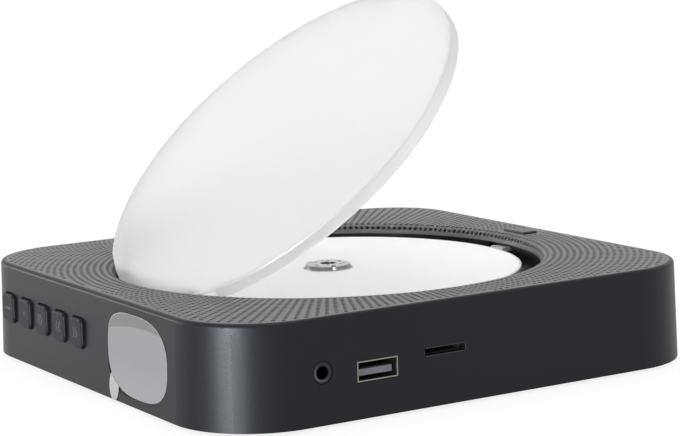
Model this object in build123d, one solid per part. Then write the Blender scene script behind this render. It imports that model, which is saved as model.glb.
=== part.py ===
from build123d import *
import math
import os

os.makedirs("parts", exist_ok=True)

# Wall mounted disc player lying on its back, lid open. Millimetres, +Z out of the disc well.
# Origin: spindle axis, on the plane that the rubber feet rest on.
# The keys and the window are on the -X face, the sockets on the -Y face.

# ---------------------------------------------------------------- casing
disc_radius = 60.0
disc_room = 6.0
casing_margin = 17.75
casing_height = 29.5
corner_radius = 26.0
draft_per_side = 0.84
casing_wall = 2.2
top_edge_round = 1.2
foot_proud = 1.0
snug = 0.05
loose = 0.2
show_gap = 0.3

well_radius = disc_radius + disc_room
casing_side = 2 * (well_radius + casing_margin)
z_rear = foot_proud
z_top = z_rear + casing_height
half = casing_side / 2
draft_angle = math.degrees(math.atan(draft_per_side / casing_height))
half_top = half - draft_per_side


def wall_at(z):
    """Half width of the casing's outer face at a height."""
    return half - draft_per_side * (z - z_rear) / casing_height


# ---------------------------------------------------------------- grille, cloth and deck
grille_thickness = 1.0
cloth_thickness = 0.3
deck_thickness = 1.4
grille_border = 1.4
rim_round = 3.0
well_depth = 7.0
deck_ledge = 0.5

rim_radius = well_radius + rim_round
z_cloth = z_top - grille_thickness
z_deck = z_cloth - cloth_thickness
z_deck_under = z_deck - deck_thickness
z_floor = z_top - well_depth
grille_half = half_top - grille_border
deck_hole_radius = rim_radius + deck_ledge

# ---------------------------------------------------------------- disc, hub and spindle
disc_thickness = 1.2
disc_bore = 7.5
disc_below_top = 3.25
hub_clearance = 0.2
hub_above_disc = 1.4
hub_taper = 0.6
hub_ball_start = -105.0
hub_ball_radius = 0.8
hub_ball_count = 3
turntable_radius = 14.0
turntable_thickness = 2.4
shaft_radius = 1.0

z_disc_top = z_top - disc_below_top
z_disc = z_disc_top - disc_thickness
z_hub_top = z_disc_top + hub_above_disc
hub_radius = disc_bore - hub_clearance

# ---------------------------------------------------------------- disc well tray
tray_thickness = 1.5
tray_wall = 1.6
tray_gap = 1.6
tray_lip_width = 1.0
tray_lug_radius = 3.2
tray_screw_angles = (20, 160, 200, 340)
tray_lug_offset = 2.8

z_tray = z_floor - tray_thickness
tray_inner = well_radius + grille_thickness + tray_gap
tray_outer = tray_inner + tray_wall
tray_screw_radius = tray_outer + tray_lug_offset

# ---------------------------------------------------------------- lid and hinge
lid_edge_gap = 1.5
lid_plate = 1.4
lid_skirt_depth = 4.0
lid_skirt_wall = 1.8
lid_below_top = 0.3
lid_open_angle = 41.4
hinge_inset = 5.5
hinge_drop = 3.3
hinge_pin_radius = 0.75
knuckle_radius = 1.5
knuckle_near = 18.5
knuckle_length = 5.5
ear_length = 2.2
ear_radius = 1.3
skirt_from_hinge = 9.0
lid_rear_flat = 3.5

lid_radius = well_radius - lid_edge_gap
hinge_x = hinge_inset - lid_radius
skirt_rear_limit = hinge_x + skirt_from_hinge
z_lid_top = z_top - lid_below_top
z_lid_under = z_lid_top - lid_plate
z_hinge = z_top - hinge_drop
knuckle_far = knuckle_near + knuckle_length
ear_near = knuckle_far + show_gap

# ---------------------------------------------------------------- latch at the edge away from the hinge
latch_travel = 1.2
tongue_half_width = 5.0
tongue_thickness = 1.3
tongue_below_top = 3.9
tongue_blade_half = 3.3
tongue_catch = 0.8
slot_half_width = 6.5
pad_from_rim = 4.7
pad_length = 5.4
pad_half_width = 5.4
pad_proud = 0.7
pad_flange = 0.5
pad_flange_thickness = 0.8
wedge_half_width = 3.2
slider_drop = 1.4
latch_spring_radius = 1.6
latch_spring_wire = 0.4

tongue_reach = lid_radius - tongue_catch
pad_x = rim_radius + pad_from_rim
z_tongue = z_top - tongue_below_top - tongue_thickness
z_shelf = z_tray + 0.4
z_slider = z_shelf + loose
pad_inner = pad_x - pad_length / 2
pad_outer = pad_x + pad_length / 2

# ---------------------------------------------------------------- keys and window on the -X face
key_count = 5
key_pitch = 12.7
key_first_y = 4.9
key_width = 8.8
key_height = 8.9
key_corner = 1.8
key_edge_round = 0.7
key_z = 17.0
key_travel = 0.6
key_reach = 1.1
key_flange = 0.9
key_flange_thickness = 1.0
key_plunger_radius = 1.6
switch_side = 6.0
switch_depth = 1.8
plunger_length = 0.8
board_thickness = 1.6

window_y = -34.0
window_z = 15.6
window_width = 37.6
window_height = 24.2
window_corner = 9.0
window_bulge = 1.2
window_rebate = 1.4
window_lip = 1.6
lens_thickness = 1.25
film_thickness = 0.15
tab_width = 7.0
tab_length = 13.0
tab_y = -18.3
tab_drop = 2.6
key_board_overlap = 15.05

outer_reach = wall_at(key_z) + key_reach
key_face_x = -outer_reach
wall_inner_keys = wall_at(key_z + key_height / 2 + key_flange) - casing_wall
key_rear_x = -(wall_inner_keys - show_gap - key_flange_thickness)
plunger_x = key_rear_x + key_travel + snug
key_board_x = plunger_x + plunger_length + switch_depth
key_ys = [key_first_y + key_pitch * i for i in range(key_count)]

# ---------------------------------------------------------------- rear cover, feet, screws
cover_thickness = 2.2
cover_gap = 0.2
foot_radius = 7.0
foot_seat = 0.8
foot_inset = 21.75
case_screw_radius = 1.4
case_screw_head = 2.8
case_screw_length = 11.0
case_post_radius = 3.4
case_pad_height = 2.3
corner_post_inset = 14.25
rear_post_inset = 7.75
rear_post_x = 48.0
keyhole_entry = 4.5
keyhole_slot = 2.1
keyhole_run = 8.0
keyhole_x = -50.0
keyhole_y = 45.0
keyhole_room = 3.8
keyhole_wall = 1.3
vent_count = 9
vent_pitch = 6.0
vent_width = 2.0
vent_length = 26.0

foot_place = half - foot_inset
corner_post = half - corner_post_inset
rear_post_y = half - rear_post_inset
case_posts = ((-corner_post, -corner_post), (corner_post, -corner_post),
              (-rear_post_x, rear_post_y), (rear_post_x, rear_post_y))
z_cover_in = z_rear + cover_thickness
z_case_pad = z_cover_in + case_pad_height
cover_half = half - casing_wall - cover_gap

# ---------------------------------------------------------------- main board and sockets
board_clear = 6.3
board_left = -62.0
board_right = 62.0
board_front_inset = 3.55
board_back = -36.0
board_ear_inset = 5.25
board_ear_front = -60.0
standoff_radius = 2.5
standoff_inset = 5.0
board_screw_radius = 1.1
board_screw_length = 3.5
chassis_screw_length = 8.0
capacitor_radius = 4.0
capacitor_height = 8.5
capacitor_inset = 16.2
capacitor_x = (30.0, 40.0, 50.0)
chip_sizes = ((0.0, -56.0, 14.0, 14.0, 1.8), (24.0, -48.0, 10.0, 6.0, 1.6),
              (-14.0, -50.0, 8.0, 5.0, 1.5), (42.0, -46.0, 7.0, 9.0, 3.0))
board_screw_head = 2.2
screw_head_height = 1.3

jack_x = -52.2
jack_z = 15.5
jack_ring = 3.0
jack_bore = 1.8
jack_depth = 12.0
usb_x = -34.65
usb_z = 14.05
usb_width = 13.1
usb_height = 5.7
usb_sheet = 0.35
usb_blade_low = 1.5
usb_blade_thickness = 1.8
usb_depth = 14.0
card_x = -12.6
card_z = 16.5
card_width = 13.2
card_slot = 1.7
card_depth = 15.0
inlet_y = -52.0
inlet_z = 15.6
inlet_ring = 3.9
inlet_bore = 2.75
inlet_pin = 0.8
inlet_depth = 12.0
inlet_bore_depth = 9.0
power_y = -40.5
power_z = 14.5
power_travel = 3.0
knob_width = 4.0
knob_height = 3.0

board_front = board_front_inset - half
board_ear_right = half - board_ear_inset
board_standoffs = ((board_left + 24.0, board_back - standoff_inset),
                   (board_right - standoff_inset, board_back - standoff_inset),
                   (12.0, board_front + standoff_inset + 0.2),
                   (-24.1, board_front + standoff_inset + 1.2))
capacitor_places = [(x, board_front + capacitor_inset) for x in capacitor_x]
z_board = z_cover_in + board_clear
z_board_top = z_board + board_thickness
socket_face_y = -(wall_at(usb_z) - loose)

# ---------------------------------------------------------------- pickup mechanism
chassis_thickness = 1.5
chassis_left = -32.0
chassis_right = 40.0
chassis_front = -32.0
chassis_back_inset = 8.25
chassis_post_inset = 6.0
chassis_drop = 3.6
damper_radius = 4.5
damper_neck = 3.2
damper_flange = 1.5
motor_radius = 12.0
motor_height = 8.5
motor_boss_radius = 4.0
rod_x = 17.0
rod_radius = 1.5
rod_below_plate = 3.5
rod_block = 3.0
sled_lens_in = 25.0
sled_travel = 33.0
sled_half_length = 11.0
sled_half_width = 20.5
sled_height = 6.0
tower_half_x = 7.5
tower_half_y = 8.0
lens_radius = 3.0
lens_gap = 1.25

chassis_back = half - chassis_back_inset
chassis_posts = [(x, y) for y in (chassis_front + chassis_post_inset, chassis_back - chassis_post_inset)
                 for x in (chassis_left + chassis_post_inset, chassis_right - chassis_post_inset)]
z_chassis_top = z_tray - chassis_drop
z_chassis = z_chassis_top - chassis_thickness
z_rod = z_chassis - rod_below_plate
rod_start = sled_lens_in - sled_half_length - rod_block - 1.0
rod_end = sled_lens_in + sled_travel + sled_half_length + rod_block + 1.0

# ---------------------------------------------------------------- sled gear train
gear_module = 0.8
pinion_teeth = 10
idler_teeth = 24
idler_small_teeth = 12
gear_backlash = 0.16
gear_addendum = 0.8
gear_dedendum = 1.25
idler_y = 36.0
idler_x = 19.0
motor_bearing = -30.0
gear_face = 1.2
idler_pin_radius = 1.0
sled_motor_radius = 6.0
sled_motor_height = 11.0
sled_motor_shaft = 0.75

small_pitch_radius = gear_module * idler_small_teeth / 2
large_pitch_radius = gear_module * idler_teeth / 2
pinion_pitch_radius = gear_module * pinion_teeth / 2
rack_pitch_x = idler_x - small_pitch_radius
train_distance = large_pitch_radius + pinion_pitch_radius
sled_motor_x = idler_x + train_distance * math.cos(math.radians(motor_bearing))
sled_motor_y = idler_y + train_distance * math.sin(math.radians(motor_bearing))
z_gear = z_chassis_top + show_gap
z_rack = z_gear + gear_face + loose

# ---------------------------------------------------------------- speakers
speaker_inset = 23.25
speaker_radius = 13.8
speaker_opening = 11.6
speaker_rim = 1.2
speaker_basket = 6.0
speaker_magnet_radius = 8.0
speaker_magnet_height = 5.0
gasket_thickness = 0.8
cone_depth = 3.6
cone_neck = 4.0
dust_cap_radius = 4.4
magnet_boss_step = 4.5
speaker_place = half - speaker_inset
speaker_spots = ((-speaker_place, speaker_place), (speaker_place, speaker_place))


# ---------------------------------------------------------------- helpers
def block(x0, x1, y0, y1, z0, z1):
    """Box between two corners."""
    return Pos((x0 + x1) / 2, (y0 + y1) / 2, (z0 + z1) / 2) * Box(x1 - x0, y1 - y0, z1 - z0)


def post(radius, z0, z1, x=0.0, y=0.0):
    """Upright cylinder."""
    return Pos(x, y, (z0 + z1) / 2) * Cylinder(radius, z1 - z0)


def bar_x(radius, x0, x1, y, z):
    """Cylinder along X."""
    return Pos((x0 + x1) / 2, y, z) * Rot(0, 90, 0) * Cylinder(radius, x1 - x0)


def bar_y(radius, y0, y1, x, z):
    """Cylinder along Y."""
    return Pos(x, (y0 + y1) / 2, z) * Rot(90, 0, 0) * Cylinder(radius, y1 - y0)


def rounded_slab(half_width, radius, z0, z1, taper=0.0):
    """Rounded square plate, narrowing upwards by the taper angle."""
    outline = Plane.XY.offset(z0) * RectangleRounded(2 * half_width, 2 * half_width, radius)
    return extrude(outline, amount=z1 - z0, taper=taper)


def ring(outer, inner, z0, z1, x=0.0, y=0.0):
    """Upright tube."""
    return post(outer, z0, z1, x, y) - post(inner, z0 - 1, z1 + 1, x, y)


def group(solids):
    """Separate solids kept together in one node."""
    total = solids[0]
    for solid in solids[1:]:
        total = total + solid
    return total


def mirrored(solid):
    """A solid and its mirror image across the XZ plane."""
    return group([solid, mirror(solid, about=Plane.XZ)])


def save(name, shape):
    shape.label = name
    export_step(shape, "parts/" + name + ".step")


def gear_face_outline(teeth, turn):
    """Spur gear outline with involute flanks; one tooth points along the turn angle."""
    pitch = gear_module * teeth / 2
    base = pitch * math.cos(math.radians(20))
    tip = pitch + gear_addendum * gear_module
    root = pitch - gear_dedendum * gear_module
    half_tooth = math.pi / (2 * teeth) - gear_backlash / (2 * pitch)
    involute_at_pitch = math.tan(math.radians(20)) - math.radians(20)
    flank = []
    steps = 4
    start = max(base, root)
    for i in range(steps + 1):
        radius = start + (tip - start) * i / steps
        angle = math.acos(min(1.0, base / radius))
        flank.append((radius, half_tooth + involute_at_pitch - (math.tan(angle) - angle)))
    if root < base:
        flank.insert(0, (root, flank[0][1] * 0.75))
    points = []
    for i in range(teeth):
        centre = math.radians(turn) + 2 * math.pi * i / teeth
        for radius, offset in flank:
            points.append((radius * math.cos(centre - offset), radius * math.sin(centre - offset)))
        for radius, offset in reversed(flank):
            points.append((radius * math.cos(centre + offset), radius * math.sin(centre + offset)))
    return make_face(Polyline(points, close=True))


def gear(teeth, turn, x, y, z0, z1, bore):
    """Spur gear on an upright axis."""
    outline = Pos(x, y, z0) * gear_face_outline(teeth, turn)
    return extrude(outline, amount=z1 - z0) - post(bore, z0 - 1, z1 + 1, x, y)


def bulged_outline(width, height, corner, bulge):
    """Rounded rectangle whose four sides bow outwards a little."""
    a = width / 2
    b = height / 2
    sides = [
        ThreePointArc((-a + bulge, -b + bulge), (0, -b), (a - bulge, -b + bulge)),
        ThreePointArc((a - bulge, -b + bulge), (a, 0), (a - bulge, b - bulge)),
        ThreePointArc((a - bulge, b - bulge), (0, b), (-a + bulge, b - bulge)),
        ThreePointArc((-a + bulge, b - bulge), (-a, 0), (-a + bulge, -b + bulge)),
    ]
    face = make_face(sides)
    return fillet(face.vertices(), corner)


def on_window(depth, shift_y=0.0, shift_z=0.0):
    """Plane on the window's centre, facing out along the drafted -X wall, sunk by the depth."""
    lean = math.radians(draft_angle)
    outward = (-math.cos(lean), 0, math.sin(lean))
    x = -wall_at(window_z + shift_z) - depth * outward[0]
    z = window_z + shift_z - depth * outward[2]
    return Plane(origin=(x, window_y + shift_y, z), x_dir=(0, -1, 0), z_dir=outward)


def window_solid(width, height, depth_from, depth_to):
    """Window shaped plug between two depths below the wall's face."""
    outline = bulged_outline(width, height, window_corner, window_bulge)
    return extrude(on_window(depth_to) * outline, amount=depth_to - depth_from)


# ---------------------------------------------------------------- casing pieces
def casing_blank():
    """Outer form of the casing, before it is hollowed."""
    outer = rounded_slab(half, corner_radius, z_rear, z_top, draft_angle)
    return fillet(outer.faces().sort_by(Axis.Z)[-1].outer_wire().edges(), top_edge_round)


def top_shell():
    """Deck of the casing with its rounded border, over the side walls."""
    shell = casing_blank() - block(-half - 1, half + 1, -half - 1, half + 1, z_rear - 1, z_deck_under)
    pocket_radius = corner_radius - draft_per_side - grille_border
    shell -= rounded_slab(grille_half, pocket_radius, z_deck, z_top + 1)
    shell -= post(deck_hole_radius, z_rear, z_top + 1)
    for x, y in speaker_spots:
        shell -= post(speaker_opening, z_deck_under - 1, z_deck + 1, x, y)
    for angle in tray_screw_angles:
        x = tray_screw_radius * math.cos(math.radians(angle))
        y = tray_screw_radius * math.sin(math.radians(angle))
        shell -= post(board_screw_radius + snug, z_deck_under - 1, z_deck - 0.1, x, y)
    shell -= block(pad_inner - show_gap, pad_outer + show_gap, -pad_half_width - show_gap,
                   pad_half_width + show_gap, z_deck_under - 1, z_top + 1)
    return shell


def side_walls():
    """Four walls of the casing under its deck, mitred at the corners, and the cover's screw posts."""
    walls = casing_blank() - block(-half - 1, half + 1, -half - 1, half + 1, z_deck_under, z_top + 1)
    inner_radius = corner_radius - casing_wall
    walls -= rounded_slab(half - casing_wall, inner_radius, z_rear, z_deck_under, draft_angle)
    for y in key_ys:
        opening = block(-half - 1, -wall_inner_keys + 1, y - key_width / 2 - show_gap,
                        y + key_width / 2 + show_gap, key_z - key_height / 2 - show_gap,
                        key_z + key_height / 2 + show_gap)
        walls -= fillet(opening.edges().filter_by(Axis.X), key_corner + show_gap)
    walls -= window_solid(window_width, window_height, -1.0, window_rebate)
    walls -= window_solid(window_width - 2 * window_lip, window_height - 2 * window_lip,
                          -1.0, casing_wall + 1)
    walls -= bar_y(jack_ring + loose, -half - 1, -half + casing_wall + 2, jack_x, jack_z)
    walls -= socket_hole(usb_x, usb_z, usb_width, usb_height)
    walls -= socket_hole(card_x, card_z, card_width, card_slot)
    walls -= bar_x(inlet_ring + loose, half - casing_wall - 2, half + 1, inlet_y, inlet_z)
    slot_half = knob_width / 2 + power_travel / 2 + loose
    walls -= block(half - casing_wall - 2, half + 1, power_y - slot_half, power_y + slot_half,
                   power_z - knob_height / 2 - loose, power_z + knob_height / 2 + loose)
    solids = []
    for turn in range(4):
        side = extrude(Plane.XY.offset(z_rear - 1) * make_face(Polyline(
            (0, 0), (2 * half, 2 * half), (-2 * half, 2 * half), close=True)), casing_height + 2)
        solids.append(walls & Rot(0, 0, 90 * turn) * side)
    for x, y in case_posts:
        screw_post = post(case_post_radius, z_case_pad + loose, z_deck_under, x, y)
        solids.append(screw_post - post(case_screw_radius + snug, z_rear,
                                        z_rear + casing_height / 2 + 2, x, y))
    return Compound([solid for piece in solids for solid in piece.solids()])


def socket_hole(x, z, width, height):
    """Opening through the -Y wall for a socket."""
    return block(x - width / 2 - loose, x + width / 2 + loose, -half - 1, -half + casing_wall + 2,
                 z - height / 2 - loose, z + height / 2 + loose)


def grille():
    pocket_radius = corner_radius - draft_per_side - grille_border
    sheet = rounded_slab(grille_half, pocket_radius, z_cloth, z_top)
    sheet -= post(rim_radius, z_cloth - 1, z_top + 1)
    z_centre = z_top - rim_round
    inner_round = rim_round - grille_thickness
    wall_outside = well_radius + grille_thickness
    section = make_face([
        CenterArc((rim_radius, z_centre), rim_round, 90, 90),
        Line((well_radius, z_centre), (well_radius, z_floor)),
        Line((well_radius, z_floor), (wall_outside, z_floor)),
        Line((wall_outside, z_floor), (wall_outside, z_centre)),
        CenterArc((rim_radius, z_centre), inner_round, 90, 90),
        Line((rim_radius, z_centre + inner_round), (rim_radius, z_top)),
    ])
    sheet += revolve(Plane.XZ * section, Axis.Z, 360)
    sheet -= block(pad_inner - show_gap, pad_outer + show_gap, -pad_half_width - show_gap,
                   pad_half_width + show_gap, z_cloth - 1, z_top + 1)
    sheet -= tongue_slot(well_radius - 3, rim_radius)
    return sheet


def tongue_slot(x0, x1):
    """Gap through a wall for the latch tongue."""
    return block(x0, x1, -slot_half_width, slot_half_width, z_tongue - 0.6,
                 z_tongue + tongue_thickness + 0.5)


def acoustic_cloth():
    pocket_radius = corner_radius - draft_per_side - grille_border
    cloth = rounded_slab(grille_half - loose, pocket_radius - loose, z_deck, z_cloth)
    cloth -= post(deck_hole_radius, z_deck - 1, z_top)
    edge = show_gap + loose
    cloth -= block(pad_inner - edge, pad_outer + edge, -pad_half_width - edge,
                   pad_half_width + edge, z_deck - 1, z_top)
    return cloth


def rear_cover():
    """Flat cover with keyholes, vents, screw recesses and seats for the feet."""
    cover = rounded_slab(cover_half, corner_radius - casing_wall - cover_gap, z_rear, z_cover_in)
    for x, y in case_posts:
        cover -= post(case_screw_head + loose, z_rear - 1, z_cover_in + 1, x, y)
    for side_x in (-1, 1):
        for side_y in (-1, 1):
            cover -= post(foot_radius + snug, z_rear - 1, z_rear + foot_seat,
                          side_x * foot_place, side_y * foot_place)
    for y in (-keyhole_y, keyhole_y):
        cover -= post(keyhole_entry, z_rear - 1, z_cover_in + 1, keyhole_x, y)
        cover -= post(keyhole_slot, z_rear - 1, z_cover_in + 1, keyhole_x - keyhole_run, y)
        cover -= block(keyhole_x - keyhole_run, keyhole_x, y - keyhole_slot, y + keyhole_slot,
                       z_rear - 1, z_cover_in + 1)
    for i in range(vent_count):
        y = (i - (vent_count - 1) / 2) * vent_pitch
        cover -= block(52.0, 52.0 + vent_length / 2, y - vent_width / 2, y + vent_width / 2,
                       z_rear - 1, z_cover_in + 1)
    return cover


def cover_posts():
    """Everything that stands on the cover's inner face: screw posts, keyhole boxes and board ribs."""
    stands = []
    for x, y in case_posts:
        pad = post(case_post_radius + 1.2, z_cover_in, z_case_pad, x, y)
        stands.append(pad - post(case_screw_radius + loose, z_rear - 1, z_case_pad + 1, x, y))
    room_near = keyhole_x + keyhole_entry + 0.5
    room_far = keyhole_x - keyhole_run - keyhole_entry + 1
    room_side = keyhole_entry + 0.5
    room_top = z_cover_in + keyhole_room
    for y in (-keyhole_y, keyhole_y):
        room = block(room_far - keyhole_wall, room_near + keyhole_wall,
                     y - room_side - keyhole_wall, y + room_side + keyhole_wall,
                     z_cover_in, room_top + keyhole_wall)
        stands.append(room - block(room_far, room_near, y - room_side, y + room_side,
                                   z_cover_in - 1, room_top))
    for x, y in board_standoffs:
        stand = post(standoff_radius, z_cover_in, z_board, x, y)
        stands.append(stand - post(board_screw_radius + snug, z_cover_in + 1, z_board + 1, x, y))
    for x, y in chassis_posts:
        stand = post(damper_radius - 1, z_cover_in, z_chassis - damper_flange, x, y)
        stands.append(stand - post(board_screw_radius + snug, z_cover_in + 1, z_chassis, x, y))
    for y in (window_y - 8, key_ys[2] + 5.4):
        stands.append(block(key_board_x + board_thickness + snug, key_board_x + board_thickness + 2.6,
                            y - 2, y + 2, z_cover_in, key_z + 6))
    return group(stands)


def rubber_feet():
    feet = []
    for side_x in (-1, 1):
        for side_y in (-1, 1):
            foot = post(foot_radius, 0, z_rear + foot_seat, side_x * foot_place, side_y * foot_place)
            feet.append(chamfer(foot.edges().sort_by(Axis.Z)[0], 0.4))
    return group(feet)


def case_screws():
    screws = []
    for x, y in case_posts:
        head = post(case_screw_head, z_cover_in - 1.6, z_cover_in, x, y)
        head -= block(x - 2, x + 2, y - 0.4, y + 0.4, z_cover_in - 2, z_cover_in - 1)
        head -= block(x - 0.4, x + 0.4, y - 2, y + 2, z_cover_in - 2, z_cover_in - 1)
        screws.append(head + post(case_screw_radius, z_cover_in, z_cover_in + case_screw_length, x, y))
    return group(screws)


# ---------------------------------------------------------------- disc well tray
def disc_well():
    tray = post(tray_outer, z_tray, z_floor)
    tray += ring(tray_outer, tray_inner, z_tray, z_deck_under)
    tray += ring(tray_outer + tray_lip_width, tray_inner, z_deck_under - tray_thickness, z_deck_under)
    for angle in tray_screw_angles:
        x = tray_screw_radius * math.cos(math.radians(angle))
        y = tray_screw_radius * math.sin(math.radians(angle))
        tray += post(tray_lug_radius, z_deck_under - tray_thickness, z_deck_under, x, y)
        tray -= post(board_screw_radius + snug, z_deck_under - 3, z_deck_under + 1, x, y)
    tray -= post(tray_inner, z_floor, z_deck_under + 1)
    tray -= post(turntable_radius + 1.5, z_tray - 1, z_floor + 1)
    slot_start = sled_lens_in - 7
    slot_end = sled_lens_in + sled_travel + 6
    tray -= block(-6.5, 6.5, slot_start, slot_end, z_tray - 1, z_floor + 1)
    tray += hinge_ears()
    shelf_end = wall_at(z_shelf) - casing_wall - show_gap
    tray += block(tray_outer - 1.2, shelf_end, -slot_half_width - 1, slot_half_width + 1,
                  z_shelf - tray_thickness, z_shelf)
    for side in (-1, 1):
        y = side * (tongue_half_width + loose + 0.5)
        tray += block(tray_outer - 0.6, shelf_end, y - 0.5, y + 0.5, z_shelf, z_shelf + 1.4)
    tray -= tongue_slot(tray_inner - 1, tray_outer + tray_lip_width + 1)
    tray -= block(tray_inner - 1, tray_outer + tray_lip_width + 1, -slot_half_width,
                  slot_half_width, z_tongue, z_deck_under + 1)
    return tray


def hinge_ears():
    """Two lugs on the tray's floor that hold the hinge pins."""
    ear = bar_y(ear_radius, ear_near, ear_near + ear_length, hinge_x, z_hinge)
    ear += block(hinge_x - ear_radius, hinge_x + ear_radius, ear_near, ear_near + ear_length,
                 z_floor - 0.5, z_hinge)
    ear -= bar_y(hinge_pin_radius + snug / 2, ear_near - 1, ear_near + ear_length + 1, hinge_x, z_hinge)
    return mirrored(ear)


def well_screws():
    screws = []
    z_lug = z_deck_under - tray_thickness
    for angle in tray_screw_angles:
        x = tray_screw_radius * math.cos(math.radians(angle))
        y = tray_screw_radius * math.sin(math.radians(angle))
        head = post(board_screw_head, z_lug - screw_head_height, z_lug, x, y)
        screws.append(head + post(board_screw_radius, z_lug, z_deck - loose, x, y))
    return group(screws)


# ---------------------------------------------------------------- lid
def opened(solid):
    """Turn a solid from the closed lid's place to the open rest pose."""
    hinge = Axis((hinge_x, 0, z_hinge), (0, -1, 0))
    return solid.rotate(hinge, lid_open_angle)


def lid():
    """Round frosted plate, cut flat behind the hinge and notched round its lugs."""
    plate = post(lid_radius, z_lid_under, z_lid_top)
    plate = fillet(plate.edges().sort_by(Axis.Z)[-1], 0.5)
    plate -= block(-lid_radius - 1, hinge_x - lid_rear_flat, -lid_radius, lid_radius,
                   z_lid_under - 1, z_lid_top + 1)
    notch = block(-lid_radius - 1, hinge_x + 1, knuckle_far + 0.1, ear_near + ear_length + 3,
                  z_lid_under - 1, z_lid_top + 1)
    notch += block(-lid_radius - 1, hinge_x - 0.2, knuckle_near - 2, knuckle_far + 0.1,
                   z_lid_under - 1, z_lid_top + 1)
    return opened(plate - mirrored(notch))


def lid_rim():
    """Stiffening rim under the plate's edge, open at the tongue and near the hinge."""
    z_rim = z_lid_top - lid_skirt_depth
    rim = ring(lid_radius, lid_radius - lid_skirt_wall, z_rim, z_lid_under)
    rim -= block(-lid_radius - 1, skirt_rear_limit, -lid_radius, lid_radius, z_rim - 1, z_lid_under)
    rim -= block(lid_radius - 6, lid_radius + 1, -slot_half_width, slot_half_width,
                 z_rim - 1, z_lid_under)
    return opened(rim)


def lid_arms():
    """Two knuckles that hang under the plate and turn on the hinge pins."""
    arm = bar_y(knuckle_radius, knuckle_near, knuckle_far, hinge_x, z_hinge)
    arm += block(hinge_x - 0.6, hinge_x + 2.2, knuckle_near, knuckle_far, z_hinge + 0.8, z_lid_under)
    arm -= bar_y(hinge_pin_radius + snug, knuckle_near - 1, knuckle_far + 1, hinge_x, z_hinge)
    return opened(mirrored(arm))


def lid_hinge_pins():
    pin = bar_y(hinge_pin_radius, knuckle_near + 0.6, ear_near + ear_length, hinge_x, z_hinge)
    return mirrored(pin)


# ---------------------------------------------------------------- latch
ramp_foot_x = pad_x + 0.4
ramp_height = 1.6
wedge_foot = 1.1
z_slider_top = z_slider + tongue_thickness


def latch_pad():
    pad = block(pad_inner, pad_outer, -pad_half_width, pad_half_width,
                z_deck_under - loose, z_top + pad_proud)
    pad = fillet(pad.faces().sort_by(Axis.Z)[-1].edges(), 0.4)
    z_flange = z_deck_under - 0.1 - pad_flange_thickness
    pad += block(pad_inner - pad_flange, pad_outer + pad_flange, -pad_half_width - pad_flange,
                 pad_half_width + pad_flange, z_flange, z_flange + pad_flange_thickness)
    z_tip = z_slider_top + show_gap
    foot = ramp_foot_x
    top_reach = min(foot + z_flange - z_tip, pad_outer)
    section = make_face(Polyline([
        (foot - wedge_foot, z_flange), (foot - wedge_foot, z_tip), (foot, z_tip),
        (top_reach, z_tip + top_reach - foot), (top_reach, z_flange),
    ], close=True))
    pad += extrude(Plane.XZ.offset(-wedge_half_width) * section, amount=2 * wedge_half_width)
    pocket_side = tongue_half_width + show_gap
    z_pocket = z_tongue + tongue_thickness + latch_travel + show_gap
    return pad - block(pad_inner - pad_flange - 1, foot - wedge_foot, -pocket_side, pocket_side,
                       z_flange - 1, z_pocket)


def latch_tongue():
    web_in = tray_outer + loose
    web_out = web_in + 1.2
    tongue = block(tongue_reach, web_out, -tongue_blade_half, tongue_blade_half,
                   z_tongue, z_tongue + tongue_thickness)
    tongue = chamfer(tongue.edges().filter_by(Axis.Y).group_by(Axis.X)[0].sort_by(Axis.Z)[-1], 0.7)
    tongue += block(web_in, web_out, -tongue_half_width, tongue_half_width,
                    z_slider, z_tongue + tongue_thickness)
    slider_end = pad_outer + pad_flange
    tongue += block(web_in, slider_end, -tongue_half_width, tongue_half_width, z_slider, z_slider_top)
    ramp_top_x = ramp_foot_x + ramp_height
    section = make_face(Polyline([
        (ramp_foot_x, z_slider_top), (ramp_top_x, z_slider_top + ramp_height),
        (slider_end, z_slider_top + ramp_height), (slider_end, z_slider_top),
    ], close=True))
    tongue += extrude(Plane.XZ.offset(-tongue_half_width) * section, amount=2 * tongue_half_width)
    tongue -= block(web_out, ramp_foot_x, -wedge_half_width - loose, wedge_half_width + loose,
                    z_slider - 1, z_slider_top + 0.01)
    return tongue


def latch_spring():
    start = pad_outer + pad_flange + snug
    end = wall_at(z_slider) - casing_wall - 0.3
    z = z_slider + latch_spring_radius
    return bar_x(latch_spring_radius, start, end, 0, z) - bar_x(
        latch_spring_radius - latch_spring_wire, start - 1, end + 1, 0, z)


# ---------------------------------------------------------------- disc and spindle
def compact_disc():
    disc = ring(disc_radius, disc_bore, z_disc, z_disc_top)
    return disc + ring(17.4, 16.8, z_disc - 0.2, z_disc)


def ball_places():
    radius = disc_bore - 0.7
    return [(radius * math.cos(math.radians(a)), radius * math.sin(math.radians(a)))
            for a in [hub_ball_start + 360 / hub_ball_count * i for i in range(hub_ball_count)]]


z_ball = z_disc_top + 0.45


def disc_hub():
    hub = post(hub_radius, z_disc, z_disc_top)
    hub += Pos(0, 0, (z_disc_top + z_hub_top) / 2) * Cone(hub_radius, hub_radius - hub_taper,
                                                         hub_above_disc)
    hub = chamfer(hub.edges().sort_by(Axis.Z)[-1], 0.2)
    hub -= post(2.4, z_hub_top - 0.7, z_hub_top + 1)
    hub -= post(shaft_radius + snug / 2, z_disc - 1, z_hub_top + 1)
    for x, y in ball_places():
        hub -= Pos(x, y, z_ball) * Sphere(hub_ball_radius + snug)
        hub -= post(hub_ball_radius * 0.9, z_ball, z_hub_top + 1, x * 0.93, y * 0.93)
    for i in range(6):
        angle = math.radians(60 * i)
        hub -= post(0.45, z_hub_top - 1, z_hub_top + 1, 4.4 * math.cos(angle), 4.4 * math.sin(angle))
    return hub


def hub_balls():
    return group([Pos(x, y, z_ball) * Sphere(hub_ball_radius) for x, y in ball_places()])


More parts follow.
